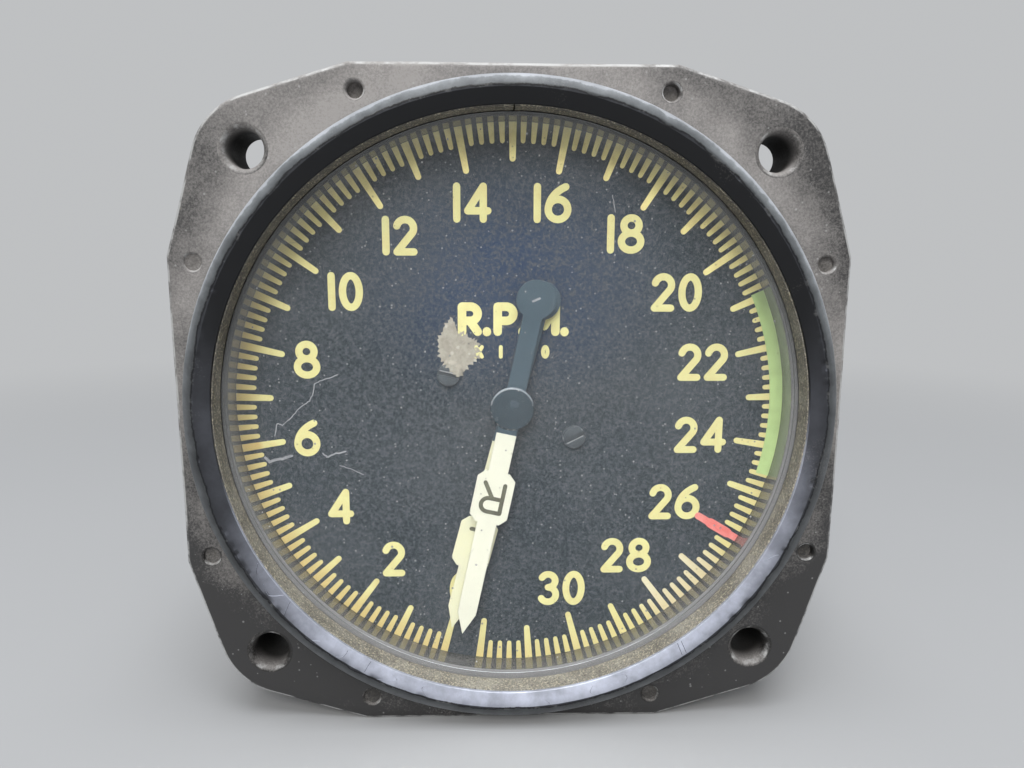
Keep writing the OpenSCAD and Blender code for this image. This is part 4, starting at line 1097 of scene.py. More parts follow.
@finish
def bead_rubber(nodes, look):
    """Grey rubber, pale with dust where it faces up."""
    pale = nodes.ramp(nodes.facing("Z"), 0.45, 0.66)
    mottle = nodes.ramp(nodes.cloud(400.0, 4.0, 0.6), 0.3, 0.7, 0.6, 1.0)
    # Pale bluish grey where it faces up: dust and a painted highlight
    shade = nodes.mix(pale * mottle, (0.03, 0.03, 0.032), (0.78, 0.82, 0.87))
    nodes.feed(Base_Color=shade, Roughness=nodes.ramp(mottle, 0.6, 1.0, 0.5, 0.7))


@finish
def dial_paint(nodes, look):
    """Matte blue-black paint, mottled, with dust specks."""
    # Painted reflection: a bluish patch in the dial's upper middle
    sheen = nodes.ramp(nodes.away(nodes.place("X") * 0.75, nodes.place("Z") - 16 * MM), 19 * MM, 3 * MM)
    mottle = nodes.cloud(75.0, 6.0, 0.62)
    lighter = nodes.ramp(mottle, 0.35, 0.8, 0.0, 0.5)
    grit = nodes.ramp(nodes.cloud(3000.0, 2.0, 0.7), 0.38, 0.7)
    flecks = specks(nodes, scale=1700.0, share=0.35, size=0.26)
    shade = nodes.mix(sheen, look.dial_black, look.dial_blue)
    shade = nodes.mix(lighter, shade, (0.06, 0.072, 0.085))
    shade = nodes.mix(grit, shade, (0.075, 0.084, 0.094))
    shade = nodes.mix(flecks * 0.5, shade, (0.42, 0.43, 0.42))
    nodes.feed(
        Base_Color=shade, Specular_IOR_Level=0.25, Roughness=nodes.ramp(mottle, 0.3, 0.7, 0.55, 0.75),
        Normal=nodes.cast_bump(2600.0, 0.08, 0.02))


def near_tick(nodes, value, radius, edge, core):
    """Share that grows from an edge to a core distance around a place on a value's tick."""
    x, z = on_dial(scale_angle(value), radius)
    spots = {0: nodes.place(), 1: (x, front("dial_plate"), z)}
    return nodes.ramp(nodes.value("VectorMath", spots, "Value", operation="DISTANCE"), edge, core)


@finish
def marking(nodes, look, fresh, aged, share=0.5, far=None):
    """Old brushed paint that is aged in patches, and more so towards the outer ends of the ticks."""
    patch = nodes.ramp(nodes.cloud(420.0, 5.0, 0.65), 0.35, 0.75, 0.0, share)
    paint = fresh
    if far:
        outer = nodes.ramp(nodes.reach(), 30.5 * MM, 35.6 * MM, 0.0, far)
        side = nodes.ramp(nodes.place("X"), 15 * MM, -20 * MM, 0.5, 1.0)
        lower = nodes.ramp(nodes.place("Z"), 30 * MM, 6 * MM)
        patch = patch.at_least(outer * side * lower)
        patch = patch.at_least(near_tick(nodes, 6, 34.3 * MM, 2 * MM, 0.8 * MM))
        # Painted light: paler paint towards the top, which lifts the bezel's shadow on the upper ticks
        painted_top_light = nodes.ramp(nodes.place("Z"), 4 * MM, 30 * MM)
        paint = nodes.mix(painted_top_light, fresh, (0.99, 0.89, 0.39))
        bleached = near_tick(nodes, 27.4, 33 * MM, 8 * MM, 4 * MM)
        paint = nodes.mix(bleached, paint, (0.69, 0.645, 0.45))
    shade = nodes.mix(patch, paint, aged)
    dirt = specks(nodes, scale=1500.0, share=0.25, size=0.25)
    shade = nodes.mix(dirt * 0.45, shade, (0.12, 0.11, 0.08))
    nodes.feed(
        Base_Color=shade, Roughness=0.7, Specular_IOR_Level=0.2, Normal=nodes.cast_bump(1800.0, 0.25, 0.03))


@finish
def dark_metal_paint(nodes, look, low, high, rough_low, rough_high, rubbed=0.0):
    """Thin dark paint with a faint mottle, on small parts, rubbed pale on roundings that face up."""
    mottle = nodes.cloud(340.0, 5.0, 0.6)
    worn = edge_wear(nodes, scale=1500.0, amount=0.35)
    shade = nodes.mix(mottle, low, high)
    shade = nodes.mix(worn * 0.7, shade, look.worn_metal)
    # Painted highlight: pale grey on roundings that face up
    if rubbed:
        rounding = edge_wear(nodes, scale=1500.0, amount=2.0)
        above = nodes.ramp(nodes.facing("Z"), 0.0, 0.5, 0.0, rubbed)
        shade = nodes.mix(rounding * above, shade, (0.3, 0.33, 0.36))
    nodes.feed(
        Base_Color=shade, Roughness=nodes.ramp(mottle, 0.3, 0.7, rough_low, rough_high),
        Normal=nodes.cast_bump(1500.0, 0.2, 0.02))


@finish
def flaked_patch(nodes, look):
    """Pale fibrous ground where the dial's paint has come away."""
    fibre = nodes.cloud(900.0, 6.0, 0.75)
    pits = specks(nodes, scale=1300.0, share=0.5, size=0.4)
    shade = nodes.mix(nodes.ramp(fibre, 0.3, 0.7), (0.3, 0.28, 0.23), look.flake)
    shade = nodes.mix(pits * 0.5, shade, (0.6, 0.57, 0.5))
    nodes.feed(Base_Color=shade, Roughness=0.9, Specular_IOR_Level=0.1, Normal=nodes.bump(fibre, 0.5, 0.05))


@finish
def bare_metal(nodes, look, shade, tint, rough_low=0.25, rough_high=0.45, turned=True):
    """Metal with a machined grain and a faint tarnish."""
    tarnish = nodes.ramp(nodes.cloud(160.0, 5.0, 0.6), 0.35, 0.75)
    grain = turned_grain(nodes, scale=5000.0) if turned else cast_grain(nodes, scale=1100.0)
    nodes.feed(
        Base_Color=nodes.mix(tarnish, shade, tint), Metallic=1.0,
        Roughness=nodes.ramp(tarnish, 0.0, 1.0, rough_low, rough_high), Normal=nodes.bump(grain, 0.2, 0.02))


@finish
def moulded(nodes, look, shade, tint, rough=0.6, grain=900.0):
    """Moulded, rubbery or varnished material with a fine grain."""
    mottle = nodes.cloud(300.0, 5.0, 0.65)
    dust = dust_film(nodes, scale=150.0, amount=-0.1, settle=0.2, rise=0.0)
    nodes.feed(
        Base_Color=nodes.mix(dust, nodes.mix(mottle, shade, tint), look.case_dust),
        Roughness=nodes.ramp(mottle, 0.3, 0.7, rough - 0.1, rough + 0.1),
        Normal=nodes.cast_bump(grain, 0.3, 0.03))


@finish
def wound_copper(nodes, look):
    """Enamelled wire laid round the stator."""
    wave = {"Vector": nodes.place(), "Scale": 900.0, "Distortion": 1.5, "Detail": 2.0}
    turns = nodes.value("TexWave", wave, bands_direction="Y")
    shade = nodes.mix(turns, (0.2, 0.06, 0.02), (0.56, 0.24, 0.1))
    nodes.feed(Base_Color=shade, Metallic=0.8, Roughness=0.35, Normal=nodes.bump(turns, 0.6, 0.08))


def background_rays(nodes):
    """1 for the rays by which the background is seen, straight or in metal and glass."""
    seen = nodes.value("LightPath", output="Is Camera Ray")
    for rays in ("Is Glossy Ray", "Is Transmission Ray"):
        seen = seen.at_least(nodes.value("LightPath", output=rays))
    return seen


@finish
def pale_floor(nodes, look):
    """Plain pale floor that runs out into the backdrop's tone."""
    tone = Vector(look.floor)
    shade = nodes.mix(nodes.cloud(9.0, 4.0), tone * 0.96, tone)
    nodes.feed(Base_Color=shade, Roughness=0.85, Specular_IOR_Level=0.2)
    far = nodes.value("VectorMath", {0: nodes.place()}, "Value", operation="LENGTH")
    fade = nodes.ramp(far, 0.12, 0.42) * background_rays(nodes)
    nodes.show(fade, nodes.put("Emission", {"Color": look.backdrop, "Strength": 1.0}))


def pale_scratch():
    """Pale ground that shows in scratches and chips."""
    return marking("scratch_pale", (0.34, 0.35, 0.36), (0.16, 0.17, 0.19), 0.9)


def screw_steel():
    """Dull steel of the rear screws."""
    return bare_metal("screw_steel", (0.5, 0.5, 0.49), (0.34, 0.32, 0.29), 0.3, 0.5, turned=False)


def pad_rubber():
    """Black rubber of pads and gaskets."""
    return moulded("gasket_rubber", (0.02, 0.02, 0.02), (0.045, 0.045, 0.045), 0.7)


# Pieces

def screw_head(radius, height, slot_wide, slot_deep):
    """A slotted head with a rounded top, standing on y = 0 and facing the viewer at -y."""
    edge = 0.3 * height
    head = lathe("screw_head", rounded(ring_corners(0, radius, -height, 0, 0, edge)), 48)
    half = slot_wide / 2
    long = radius * 1.2
    top = -height * 1.2
    floor = -height + slot_deep
    outline = [(-long, -half), (long, -half), (long, half), (-long, half)]
    slot = slab("screw_slot", outline, top, floor - top)
    return cut(head, [slot])


def flange_cutters(size):
    """Countersunk cutters of every hole through the flange."""
    y_front = back("bezel_ring")
    y_back = 0.0
    past = 1.0 * MM

    def hole(bore, sink):
        depth = 1.6 * (sink - bore) / 2
        lip_steps = 6
        outline = [(0, y_front - past), (sink / 2, y_front - past)]
        for k in range(lip_steps + 1):
            bend = math.pi / 2 * k / lip_steps
            radius = bore / 2 + (sink - bore) / 2 * (1 - math.sin(bend))
            outline.append((radius, y_front + depth * (1 - math.cos(bend))))
        outline += [(bore / 2, y_back + past), (0, y_back + past)]
        return lathe("hole", outline, 64)

    bolt = hole(size.bolt_hole, size.bolt_sink)
    small = hole(size.edge_hole, size.edge_sink)
    cutters = []
    for x in (-1, 1):
        for z in (-1, 1):
            cutters.append(moved(bolt, (x * size.bolt_place, 0, z * size.bolt_place)))
            cutters.append(moved(small, (x * size.edge_hole_far, 0, z * size.edge_hole_side)))
            cutters.append(moved(small, (x * size.edge_hole_side, 0, z * size.edge_hole_far)))
    return cutters


def make_case():
    """Square flange and round barrel of the case."""
    size = sizes("front")
    y_front = back("bezel_ring")

    def edge(angle):
        return square_reach(angle, size.flange_half, size.flange_flat, size.flange_slope, size.flange_corner)

    bore = size.rim - 0.05 * MM
    flange = plate("case_flange", edge, bore, y_front, 0.0, size.flange_edge, dent=0.09 * MM)
    flange = cut(flange, flange_cutters(size), sharp=30, outside=case_paint(), walls=hole_paint())
    add_piece("case_flange", flange, case_paint(), "case", "case_black", "flanged_case")
    y_end = back("flanged_case")
    edge_break = 0.6 * MM
    seat = 0.0
    corners = [
        (size.rim, front("flanged_case"), 0.2 * MM),
        (size.rim, seat, 0),
        (size.barrel, seat, 0),
        (size.barrel, y_end, edge_break),
        (size.rear_opening, y_end, 0.3 * MM),
        (size.rear_opening, y_end - size.rear_wall, 0),
        (size.barrel_bore, y_end - size.rear_wall, 0),
        (size.barrel_bore, back("dial_plate"), 0),
        (size.stack_bore, back("dial_plate"), 0),
        (size.stack_bore, front("flanged_case"), 0.2 * MM)]
    turned_piece("case_barrel", corners, 288, case_paint(), "case_black")


def make_hole_dirt():
    """Dirt packed into the small holes of the flange, each filled to a depth of its own."""
    size = sizes("front")
    y_front = back("bezel_ring")
    far, side = size.edge_hole_far, size.edge_hole_side
    wall = size.edge_hole / 2 + 0.04 * MM
    thickness, hollow, lumps = 1.2 * MM, 0.22 * MM, 0.16 * MM
    fills = [
        (-far, side, 0.5), (far, side, 1.0), (-far, -side, 0.6), (far, -side, 1.1),
        (-side, far, 1.7), (side, far, 1.6), (-side, -far, 0.6), (side, -far, 0.6)]
    plugs = []
    for x, z, depth in fills:
        y_top = y_front + depth * MM
        y_end = y_top + thickness
        outline = [(0, y_top)]
        for share in (0.25, 0.5, 0.75, 0.9, 1.0):
            outline.append((wall * share, y_top - hollow * share ** 3))
        outline += [(wall, y_end), (0, y_end)]

        def uneven(angle, radius, y):
            spot = Vector((x + radius * math.sin(angle), 0, z + radius * math.cos(angle)))
            return radius, y + lumps * radius / wall * noise.noise(spot * 1400)

        plugs.append(moved(lathe("plug", outline, 48, uneven), (x, 0, z)))
    add_piece("hole_dirt", joined("hole_dirt", plugs), packed_dirt(), "case", "case_black")


def make_bezel():
    """Bezel ring with knocks along its crest."""
    size = sizes("front")
    outer = reach("bezel_ring")
    y_front = front("bezel_ring")
    y_back = back("bezel_ring")
    lip_back = front("retaining_ring")
    skirt = size.rim + 0.02 * MM
    crest_flat = 0.2 * MM
    slope_top = Vector((size.crest - crest_flat, y_front))
    slope_foot = Vector((size.lip, lip_back - size.lip_land))
    knock_end = slope_top.lerp(slope_foot, 0.22)
    plain_start = slope_top.lerp(slope_foot, 0.27)
    outline = rounded([
        (skirt, y_back, 0),
        (outer, y_back, 0.15 * MM),
        (outer, y_back - size.shoulder, 0.6 * MM),
        (size.crest + crest_flat, y_front, 0.6 * MM),
        (slope_top.x, slope_top.y, 0.25 * MM),
        (knock_end.x, knock_end.y, 0),
        (plain_start.x, plain_start.y, 0),
        (slope_foot.x, slope_foot.y, 0.15 * MM),
        (size.lip, lip_back, 0),
        (skirt, lip_back, 0)])
    draw = random.Random(7)
    knocks = []
    knock_count = 44
    knock_half, knock_depth = 0.5 * MM, 0.45 * MM
    for _ in range(knock_count):
        knocks.append((draw.uniform(0, FULL_TURN), draw.uniform(0.006, 0.028), draw.uniform(0.02, 0.1) * MM))

    def knocked(angle, radius, y):
        share = 1 - abs(radius - size.crest) / knock_half
        if share <= 0 or y > y_front + knock_depth:
            return radius, y
        sink = 0.03 * MM * noise.noise(Vector((math.sin(angle), math.cos(angle), 0)) * 40)
        for where, half, depth in knocks:
            away = abs((angle - where + math.pi) % FULL_TURN - math.pi) / half
            if away < 1:
                sink = max(sink, depth * (1 - away ** 2))
        return radius - 0.3 * sink * share, y + max(0.0, sink) * share

    mesh = lathe("bezel", outline, 900, knocked)
    add_piece("bezel", mesh, bezel_enamel(), "case", "bezel_black", "bezel_ring")
    make_bezel_flakes(slope_foot, slope_top)


def make_bezel_flakes(lip, crest):
    """Lifted edges of the enamel's flakes, given as turns from the top and shares of the slope's width."""
    flakes = [
        [(207.0, 0.97), (203.5, 0.55), (204.8, 0.25)],
        [(209.9, 0.88), (209.7, 0.1)],
        [(216.0, 0.98), (214.9, 0.7), (214.8, 0.2)],
        [(221.5, 0.98), (220.3, 0.72)],
        [(228.8, 0.98), (230.0, 0.08)],
        [(231.7, 0.1), (232.7, 0.55), (233.8, 0.83), (235.9, 0.63)],
        [(236.9, 0.73), (238.8, 0.5), (239.9, 0.15)],
        [(117.8, 0.83), (118.4, 0.63), (120.1, 0.3)],
        [(144.0, 0.92), (143.5, 0.1)],
        [(144.9, 0.9), (144.4, 0.08)],
        [(158.2, 0.92), (156.8, 0.63), (156.8, 0.3), (159.2, 0.06)],
        [(163.2, 0.98), (164.4, 0.68), (163.7, 0.34)],
        [(172.5, 0.95), (173.4, 0.6)],
        [(196.8, 0.95), (198.2, 0.5), (197.0, 0.2)]]
    steps = 10
    half = 0.07 * MM
    lift = 0.05 * MM
    sunk = 0.02 * MM
    points = []
    faces = []

    def on_slope(turned, share, raised):
        radius, y = lip.lerp(crest, share)
        return radius * math.sin(turned), y - raised, radius * math.cos(turned)

    for flake in flakes:
        first = len(points)
        path = [Vector((math.radians(at), share)) for at, share in flake]
        spots = smooth_path(path, steps)
        for spot in spots:
            wide = half / lip.x
            points.append(on_slope(spot.x - wide, spot.y, -sunk))
            points.append(on_slope(spot.x, spot.y, lift))
            points.append(on_slope(spot.x + wide, spot.y, -sunk))
        for face in ring_faces(len(spots) - 1, 3, len(spots)):
            faces.append(tuple(first + i for i in face))
        last = len(points) - 3
        faces.append((first, first + 2, first + 1))
        faces.append((last, last + 1, last + 2))
    mesh = solid("bezel_flakes", points, faces)
    add_piece("bezel_flakes", mesh, bezel_enamel(), "case", "bezel_black")


def smooth_path(path, steps):
    """Points of a smooth curve through the given points."""
    spots = []
    for i in range(len(path) - 1):
        before, start, end = path[max(0, i - 1)], path[i], path[i + 1]
        after = path[min(len(path) - 1, i + 2)]
        for k in range(steps):
            t = k / steps
            pull = (end - before) * t + (2 * before - 5 * start + 4 * end - after) * t ** 2
            pull += (3 * start - before - 3 * end + after) * t ** 3
            spots.append(start + pull / 2)
    spots.append(path[-1])
    return spots


def make_glass_stack():
    """Retaining ring, glass with its dust, gasket and spacer ring."""
    size = sizes("front")
    outer = reach("retaining_ring")
    small = 0.12 * MM
    y_ring, y_glass, y_inside = front("retaining_ring"), front("cover_glass"), back("cover_glass")
    half_gap = size.split_gap / 2 / size.retainer
    around = (size.retainer_split + half_gap, FULL_TURN - 2 * half_gap)
    corners = ring_corners(size.retainer, outer, y_ring, y_glass, small)
    turned_piece("retainer", corners, 288, ring_grime(), "retainer_brown", "retaining_ring", arc=around)
    corners = ring_corners(0, reach("cover_glass"), y_glass, y_inside, 0, small, small)
    turned_piece("glass", corners, 192, clear_glass(), "clear_glass", "cover_glass")
    film = 0.01 * MM
    corners = ring_corners(0, size.retainer - small, y_glass - 2 * film, y_glass - film)
    turned_piece("glass_film", corners, 128, glass_dust(), "clear_glass")
    bead = 0.08 * MM
    y_bead = y_inside + film
    middle = size.spacer + 0.32 * MM
    corners = [
        (middle - bead, y_bead + bead, 0), (middle, y_bead, 0.03 * MM), (middle + bead, y_bead + bead, 0)]
    turned_piece("glass_seal", corners, 240, bead_rubber(), "black_rubber")
    y_front, y_back = front("spacer_ring"), back("spacer_ring")
    corners = ring_corners(size.spacer, outer, y_front, y_back)
    corners[-1] = (size.spacer_foot, y_back, 0)
    turned_piece("spacer", corners, 240, spacer_satin(), "spacer_black", "spacer_ring")
    y_front, y_back = front("glass_gasket") + bead, back("glass_gasket")
    corners = ring_corners(size.spacer, outer, y_front, y_back, small, 0, 0, small)
    turned_piece("gasket", corners, 240, dusty_rubber(), "black_rubber", "glass_gasket")


def make_dial():
    """Dial plate and its two slotted screws."""
    size = sizes("dial")
    y_front, y_head = front("dial_plate"), front("dial_screws")
    rounding = 0.08 * MM
    corners = ring_corners(size.hole, reach("dial_plate"), y_front, back("dial_plate"), rounding, rounding)
    turned_piece("dial", corners, 192, dial_paint(), "dial_black", "dial_plate")
    head = screw_head(size.screw_head / 2, y_front - y_head, slot_wide=0.5 * MM, slot_deep=0.3 * MM)
    shank = 0.9 * MM
    pin = lathe("screw_shank", rounded(ring_corners(0, shank, 0, back("dial_screws") - y_front)), 32)
    heads, shanks = [], []
    # Painted highlight: a thin strip of worn metal along one edge of each slot, where the lamp would catch
    # it
    glints = Marks(y_head, 0.012 * MM)
    for i, spin in enumerate((math.radians(-27), math.radians(13))):
        spot = on_dial(size.screw_turn + math.pi * i, size.screw_ring)
        heads.append(moved(head, (spot.x, y_front, spot.y), spin))
        shanks.append(moved(pin, (spot.x, y_front, spot.y)))
        along = Vector((math.cos(spin), -math.sin(spin))) * 1.15 * MM
        below = 0.31 * MM * (1 - 2 * i)
        rim = spot + Vector((along.y, -along.x)).normalized() * below
        glints.draw([rim - along, rim + along], 0.13 * MM)
    rubbed = bare_metal("rubbed_slot", (0.55, 0.56, 0.56), (0.4, 0.41, 0.42), 0.35, 0.5, turned=False)
    glints.add("dial_screw_slots", rubbed, slot="screw_black")
    black = dark_metal_paint("dial_screw_black", (0.035, 0.045, 0.055), (0.085, 0.1, 0.11), 0.3, 0.45)
    mesh = joined("dial_screw_heads", heads + shanks)
    add_piece("dial_screw_heads", mesh, black, "case", "screw_black", "dial_screws")


def scale_angle(value):
    """Clockwise angle of a scale value from the top."""
    size = sizes("dial")
    return (value - size.top_value) * size.unit_turn


def tick(marks, value, inner, outer, width):
    """A radial tick with a round, slightly narrower inner end."""
    angle = scale_angle(value)
    narrow = 0.78
    start = on_dial(angle, inner + narrow * width / 2)
    marks.draw([start, on_dial(angle, outer)], width, ends=(True, False), narrow=narrow)


def make_scale():
    """Ticks, numerals, unit words, green arc and red line."""
    size = sizes("dial")
    look = finishes()
    base = front("dial_plate")
    ticks = Marks(base, size.paint)
    for step in range(size.scale_top * size.parts + 1):
        value = step / size.parts
        if value == size.limit_value:
            continue
        if step % size.parts:
            tick(ticks, value, size.short_inner, size.tick_outer, size.short_w)
        elif value % 2:
            tick(ticks, value, size.medium_inner, size.tick_outer, size.tick_w)
        else:
            tick(ticks, value, size.long_inner, size.tick_outer, size.tick_w)
    aged = marking("tick_paint", look.cream, look.ochre, 0.5, far=0.85)
    ticks.add("dial_ticks", aged)
    numerals = Marks(base, size.paint)
    gap = 0.45 * MM
    drawn_in = {2: 0.3 * MM, 4: 0.4 * MM, 10: 0.7 * MM, 12: 0.45 * MM}
    for value in range(0, size.scale_top, 2):
        words = str(value)
        angle = scale_angle(value)
        half = row_width(words, size.numeral_h, size.numeral_w, gap) / 2
        span = math.hypot(half * math.sin(angle), size.numeral_h / 2 * math.cos(angle))
        middle = on_dial(angle, size.numeral_ring - span - drawn_in.get(value, 0.0))
        write(numerals, words, middle, size.numeral_h, size.numeral_w, gap)
    paint = marking("numeral_paint", look.cream, look.ochre, 0.35)
    numerals.add("dial_numerals", paint)
    words = Marks(base, size.paint)
    middle = Vector((size.unit_x, size.unit_z))
    spread(words, "R.P.M.", middle, size.unit_h, size.unit_w, size.unit_half)
    spread(words, "X100", Vector((0, size.factor_z)), size.factor_h, size.factor_w, size.factor_half)
    paint = marking("word_paint", Vector(look.cream) * 1.08, look.ochre, 0.25)
    words.add("dial_words", paint)
    arc = Marks(base, 1.6 * size.paint)
    radius = (size.arc_inner + size.arc_outer) / 2
    steps = 60
    sweep = [size.arc_from + (size.arc_to - size.arc_from) * k / steps for k in range(steps + 1)]
    line = [on_dial(scale_angle(value), radius) for value in sweep]
    arc.draw(line, size.arc_outer - size.arc_inner, ends=(False, False))
    paint = marking("arc_paint", look.green, Vector(look.green) * 0.7, 0.5)
    arc.add("dial_green_arc", paint)
    limit = Marks(base, 1.7 * size.paint)
    angle = scale_angle(size.limit_value)
    thin, thick = 0.95 * MM, 1.3 * MM
    limit.draw([on_dial(angle, size.limit_inner), on_dial(angle, size.arc_outer)], thin)
    middle = (size.limit_inner + size.arc_outer) / 2
    limit.draw([on_dial(angle, middle - 1.2 * MM), on_dial(angle, middle + 1.5 * MM)], thick)
    paint = marking("limit_paint", look.red, Vector((0.8, 0.4, 0.36)), 0.6)
    limit.add("dial_limit_line", paint)


def make_flake():
    """Ragged fibrous patch on the dial, which drapes over a screw's head, and the dial's scratches."""
    size = sizes("dial")
    base = front("dial_plate")
    corners = [
        (-7.9, 11.6), (-7.0, 9.9), (-5.4, 9.0), (-4.3, 8.3), (-4.1, 6.6), (-5.6, 5.2), (-6.9, 3.8),
        (-8.3, 5.0), (-9.3, 6.3), (-9.6, 8.4), (-8.9, 10.0)]
    draw = random.Random(3)
    teeth = 7
    outline = []
    for i, corner in enumerate(corners):
        here = Vector(corner) * MM
        after = Vector(corners[(i + 1) % len(corners)]) * MM
        outward = Vector((here.y - after.y, after.x - here.x)).normalized()
        for k in range(teeth):
            bite = draw.uniform(0.0, 0.34) * MM * (1 if k % 2 else -0.6)
            outline.append(here.lerp(after, k / teeth) + outward * bite)
    screw = on_dial(size.screw_turn + math.pi, size.screw_ring)
    head_lift = base - front("dial_screws")
    drape = 0.3 * MM
    head_edge = size.screw_head / 2 + drape
    skin, fibre_high, fibre_wide = 0.03 * MM, 0.06 * MM, 0.35 * MM
    middle = Vector((-6.9, 7.4)) * MM
    sunk = 0.02 * MM
    rings = 16
    points = [(spot.x, base + sunk, spot.y) for spot in outline]
    for k in range(rings):
        for spot in outline:
            here = spot.lerp(middle, k / rings)
            over = max(0.0, min(1.0, (head_edge - (here - screw).length) / drape))
            fibres = fibre_high * (0.6 + noise.noise(Vector((here.x, here.y, 0)) / fibre_wide))
            points.append((here.x, base - head_lift * over - skin - fibres, here.y))
    points.append((middle.x, base - 0.08 * MM, middle.y))
    number = len(outline)
    faces = [tuple(range(number))] + ring_faces(rings, number, rings + 1)
    last_row = rings * number
    for i in range(number):
        faces.append((last_row + i, last_row + (i + 1) % number, len(points) - 1))
    add_piece("dial_flake", solid("dial_flake", points, faces), flaked_patch(), "case", "dial_black")
    hairs = Marks(base, 0.015 * MM)
    crack = [
        (-22.4, 4.1), (-24.8, 3.3), (-25.5, 2.9), (-25.7, 1.6), (-26.2, 0.7), (-27.5, -0.2), (-28.7, -1.6),
        (-29.8, -2.5), (-30.5, -2.3), (-30.9, -4.2)]
    left_smear = [(-32.3, -6.9), (-31.7, -7.4), (-30.1, -7.0), (-28.5, -6.5)]
    right_smear = [(-24.8, -6.3), (-24.2, -6.8), (-23.3, -6.4), (-21.5, -6.0)]
    faint = [(-22.6, -7.9), (-21.0, -8.5), (-19.2, -9.4)]
    upper = [(12.5, 26.9), (13.0, 24.4)]
    steps = 6
    scratches = ((0.12, crack), (0.34, left_smear), (0.2, right_smear), (0.1, faint), (0.09, upper))
    for wide, corners in scratches:
        line = []
        for here, after in zip(corners, corners[1:]):
            for k in range(steps):
                stray = Vector((draw.uniform(-0.06, 0.06), draw.uniform(-0.06, 0.06)))
                line.append((Vector(here).lerp(Vector(after), k / steps) + stray) * MM)
        hairs.draw(line, wide * MM)
    hairs.add("dial_scratches", pale_scratch())


def pointer_outline(size, flag_at, blade_from, blade_to):
    """Upper half of a pointer's light blade, along its length."""
    half = size.blade / 2
    wide = size.flag_wide / 2
    flag_end = flag_at + size.flag_long
    cut_wide = wide - size.flag_cut
    return [
        (blade_from, half), (flag_at, half), (flag_at, cut_wide), (flag_at + size.flag_cut, wide),
        (flag_end - size.flag_cut, wide), (flag_end, cut_wide), (flag_end, half),
        (blade_to - size.point, size.blade_end / 2), (blade_to, 0)]


def tail_outline(size, blade_from):
    """Upper half of a pointer's dark arm and its tail disc, along its length."""
    half = size.tail_wide / 2
    radius = size.tail_disc / 2
    meet = math.asin(half / radius)
    upper = [(-size.tail - radius, 0)]
    steps = 14
    for k in range(1, steps + 1):
        bend = math.pi - (math.pi - meet) * k / steps
        upper.append((-size.tail + radius * math.cos(bend), radius * math.sin(bend)))
    return upper + [(0, half), (blade_from, size.blade / 2)]


def turned_outline(upper, spin):
    """Whole outline from its upper half, with its length turned clockwise from the top."""
    lower = [(a, -b) for a, b in reversed(upper) if b > 0]
    along = on_dial(spin, 1.0)
    across = Vector((along.y, -along.x))
    return [along * a + across * b for a, b in upper + lower]


def make_pointer(side, letter, fresh, aged):
    """One pointer: light blade with its letter, dark arm with its disc, and hub."""
    size = sizes("pointers")
    look = finishes()
    slate = Vector(look.slate)
    body, slot, hub_node = side + "_pointer_set", "pointer_ivory", side + "_pointer"
    flag_at, spin = getattr(size, side + "_flag"), getattr(size, side + "_turn")
    hub_half, paint_from = getattr(size, side + "_hub") / 2, getattr(size, side + "_paint")
    hub_front, hub_back = front(hub_node), back(hub_node)
    blade_front = (hub_front + hub_back - size.thickness) / 2

    def flat(name, upper):
        bevel = 0.05 * MM
        return slab(name, turned_outline(upper, spin), blade_front, size.thickness, bevel)

    name = side + "_pointer_blade"
    light = marking(side + "_pointer_light", fresh, aged, 0.45)
    blade = flat(name, pointer_outline(size, flag_at, paint_from, size.reach))
    add_piece(name, blade, light, body, slot, hub_node)
    name = side + "_pointer_arm"
    dark = dark_metal_paint("pointer_slate", slate * 0.8, slate, 0.35, 0.5)
    add_piece(name, flat(name, tail_outline(size, paint_from)), dark, body, slot)
    name = side + "_pointer_hub"
    crown = 0.06 * MM
    outline = rounded([
        (0, hub_front - crown, 0), (hub_half, hub_front, 0.4 * MM), (hub_half, hub_back, 0.08 * MM),
        (0, hub_back, 0)])
    # The hub's paint carries a painted highlight on its upper rounding
    gloss = dark_metal_paint("hub_gloss", slate * 0.4, slate * 0.7, 0.2, 0.3, 0.7)
    add_piece(name, lathe(name, outline, 96), gloss, body, slot)
    ink = marking("flag_ink", look.ink, Vector(look.ink) * 1.7, 0.8)
    sign = Marks(blade_front, 0.03 * MM)
    middle = on_dial(spin, flag_at + size.flag_long / 2)
    write(sign, letter, middle, size.letter_h, size.letter_w, 0.0, spin)
    sign.add(side + "_pointer_letter", ink, body, slot)
    chip = Marks(blade_front, 0.02 * MM)
    spot = on_dial(spin, -size.tail)
    half = Vector((0.42, 0.18)) * MM
    chip.draw([spot - half, spot + half], 0.28 * MM)
    chip.add(side + "_pointer_chip", pale_scratch(), body, slot)


def make_pointers():
    """Both pointers at their rest angles."""
    look = finishes()
    aged = Vector(look.ivory) * 0.9
    make_pointer("right", "R", look.ivory, aged)
    yellower = Vector((look.ivory[0] * 0.98, look.ivory[1] * 0.97, look.ivory[2] * 0.8))
    make_pointer("left", "L", yellower, aged)


def ring_of(mesh, number, radius, y, start=0.0, spins=None):
    """Copies of a mesh on a circle about the dial's axis."""
    copies = []
    for i in range(number):
        spot = on_dial(start + FULL_TURN * i / number, radius)
        copies.append(moved(mesh, (spot.x, y, spot.y), spins[i] if spins else 0.0))
    return copies


def facing_back(mesh):
    """A copy of a mesh that faces the rear."""
    copy = mesh.copy()
    copy.transform(Matrix.Rotation(math.pi, 4, "Z"))
    return copy


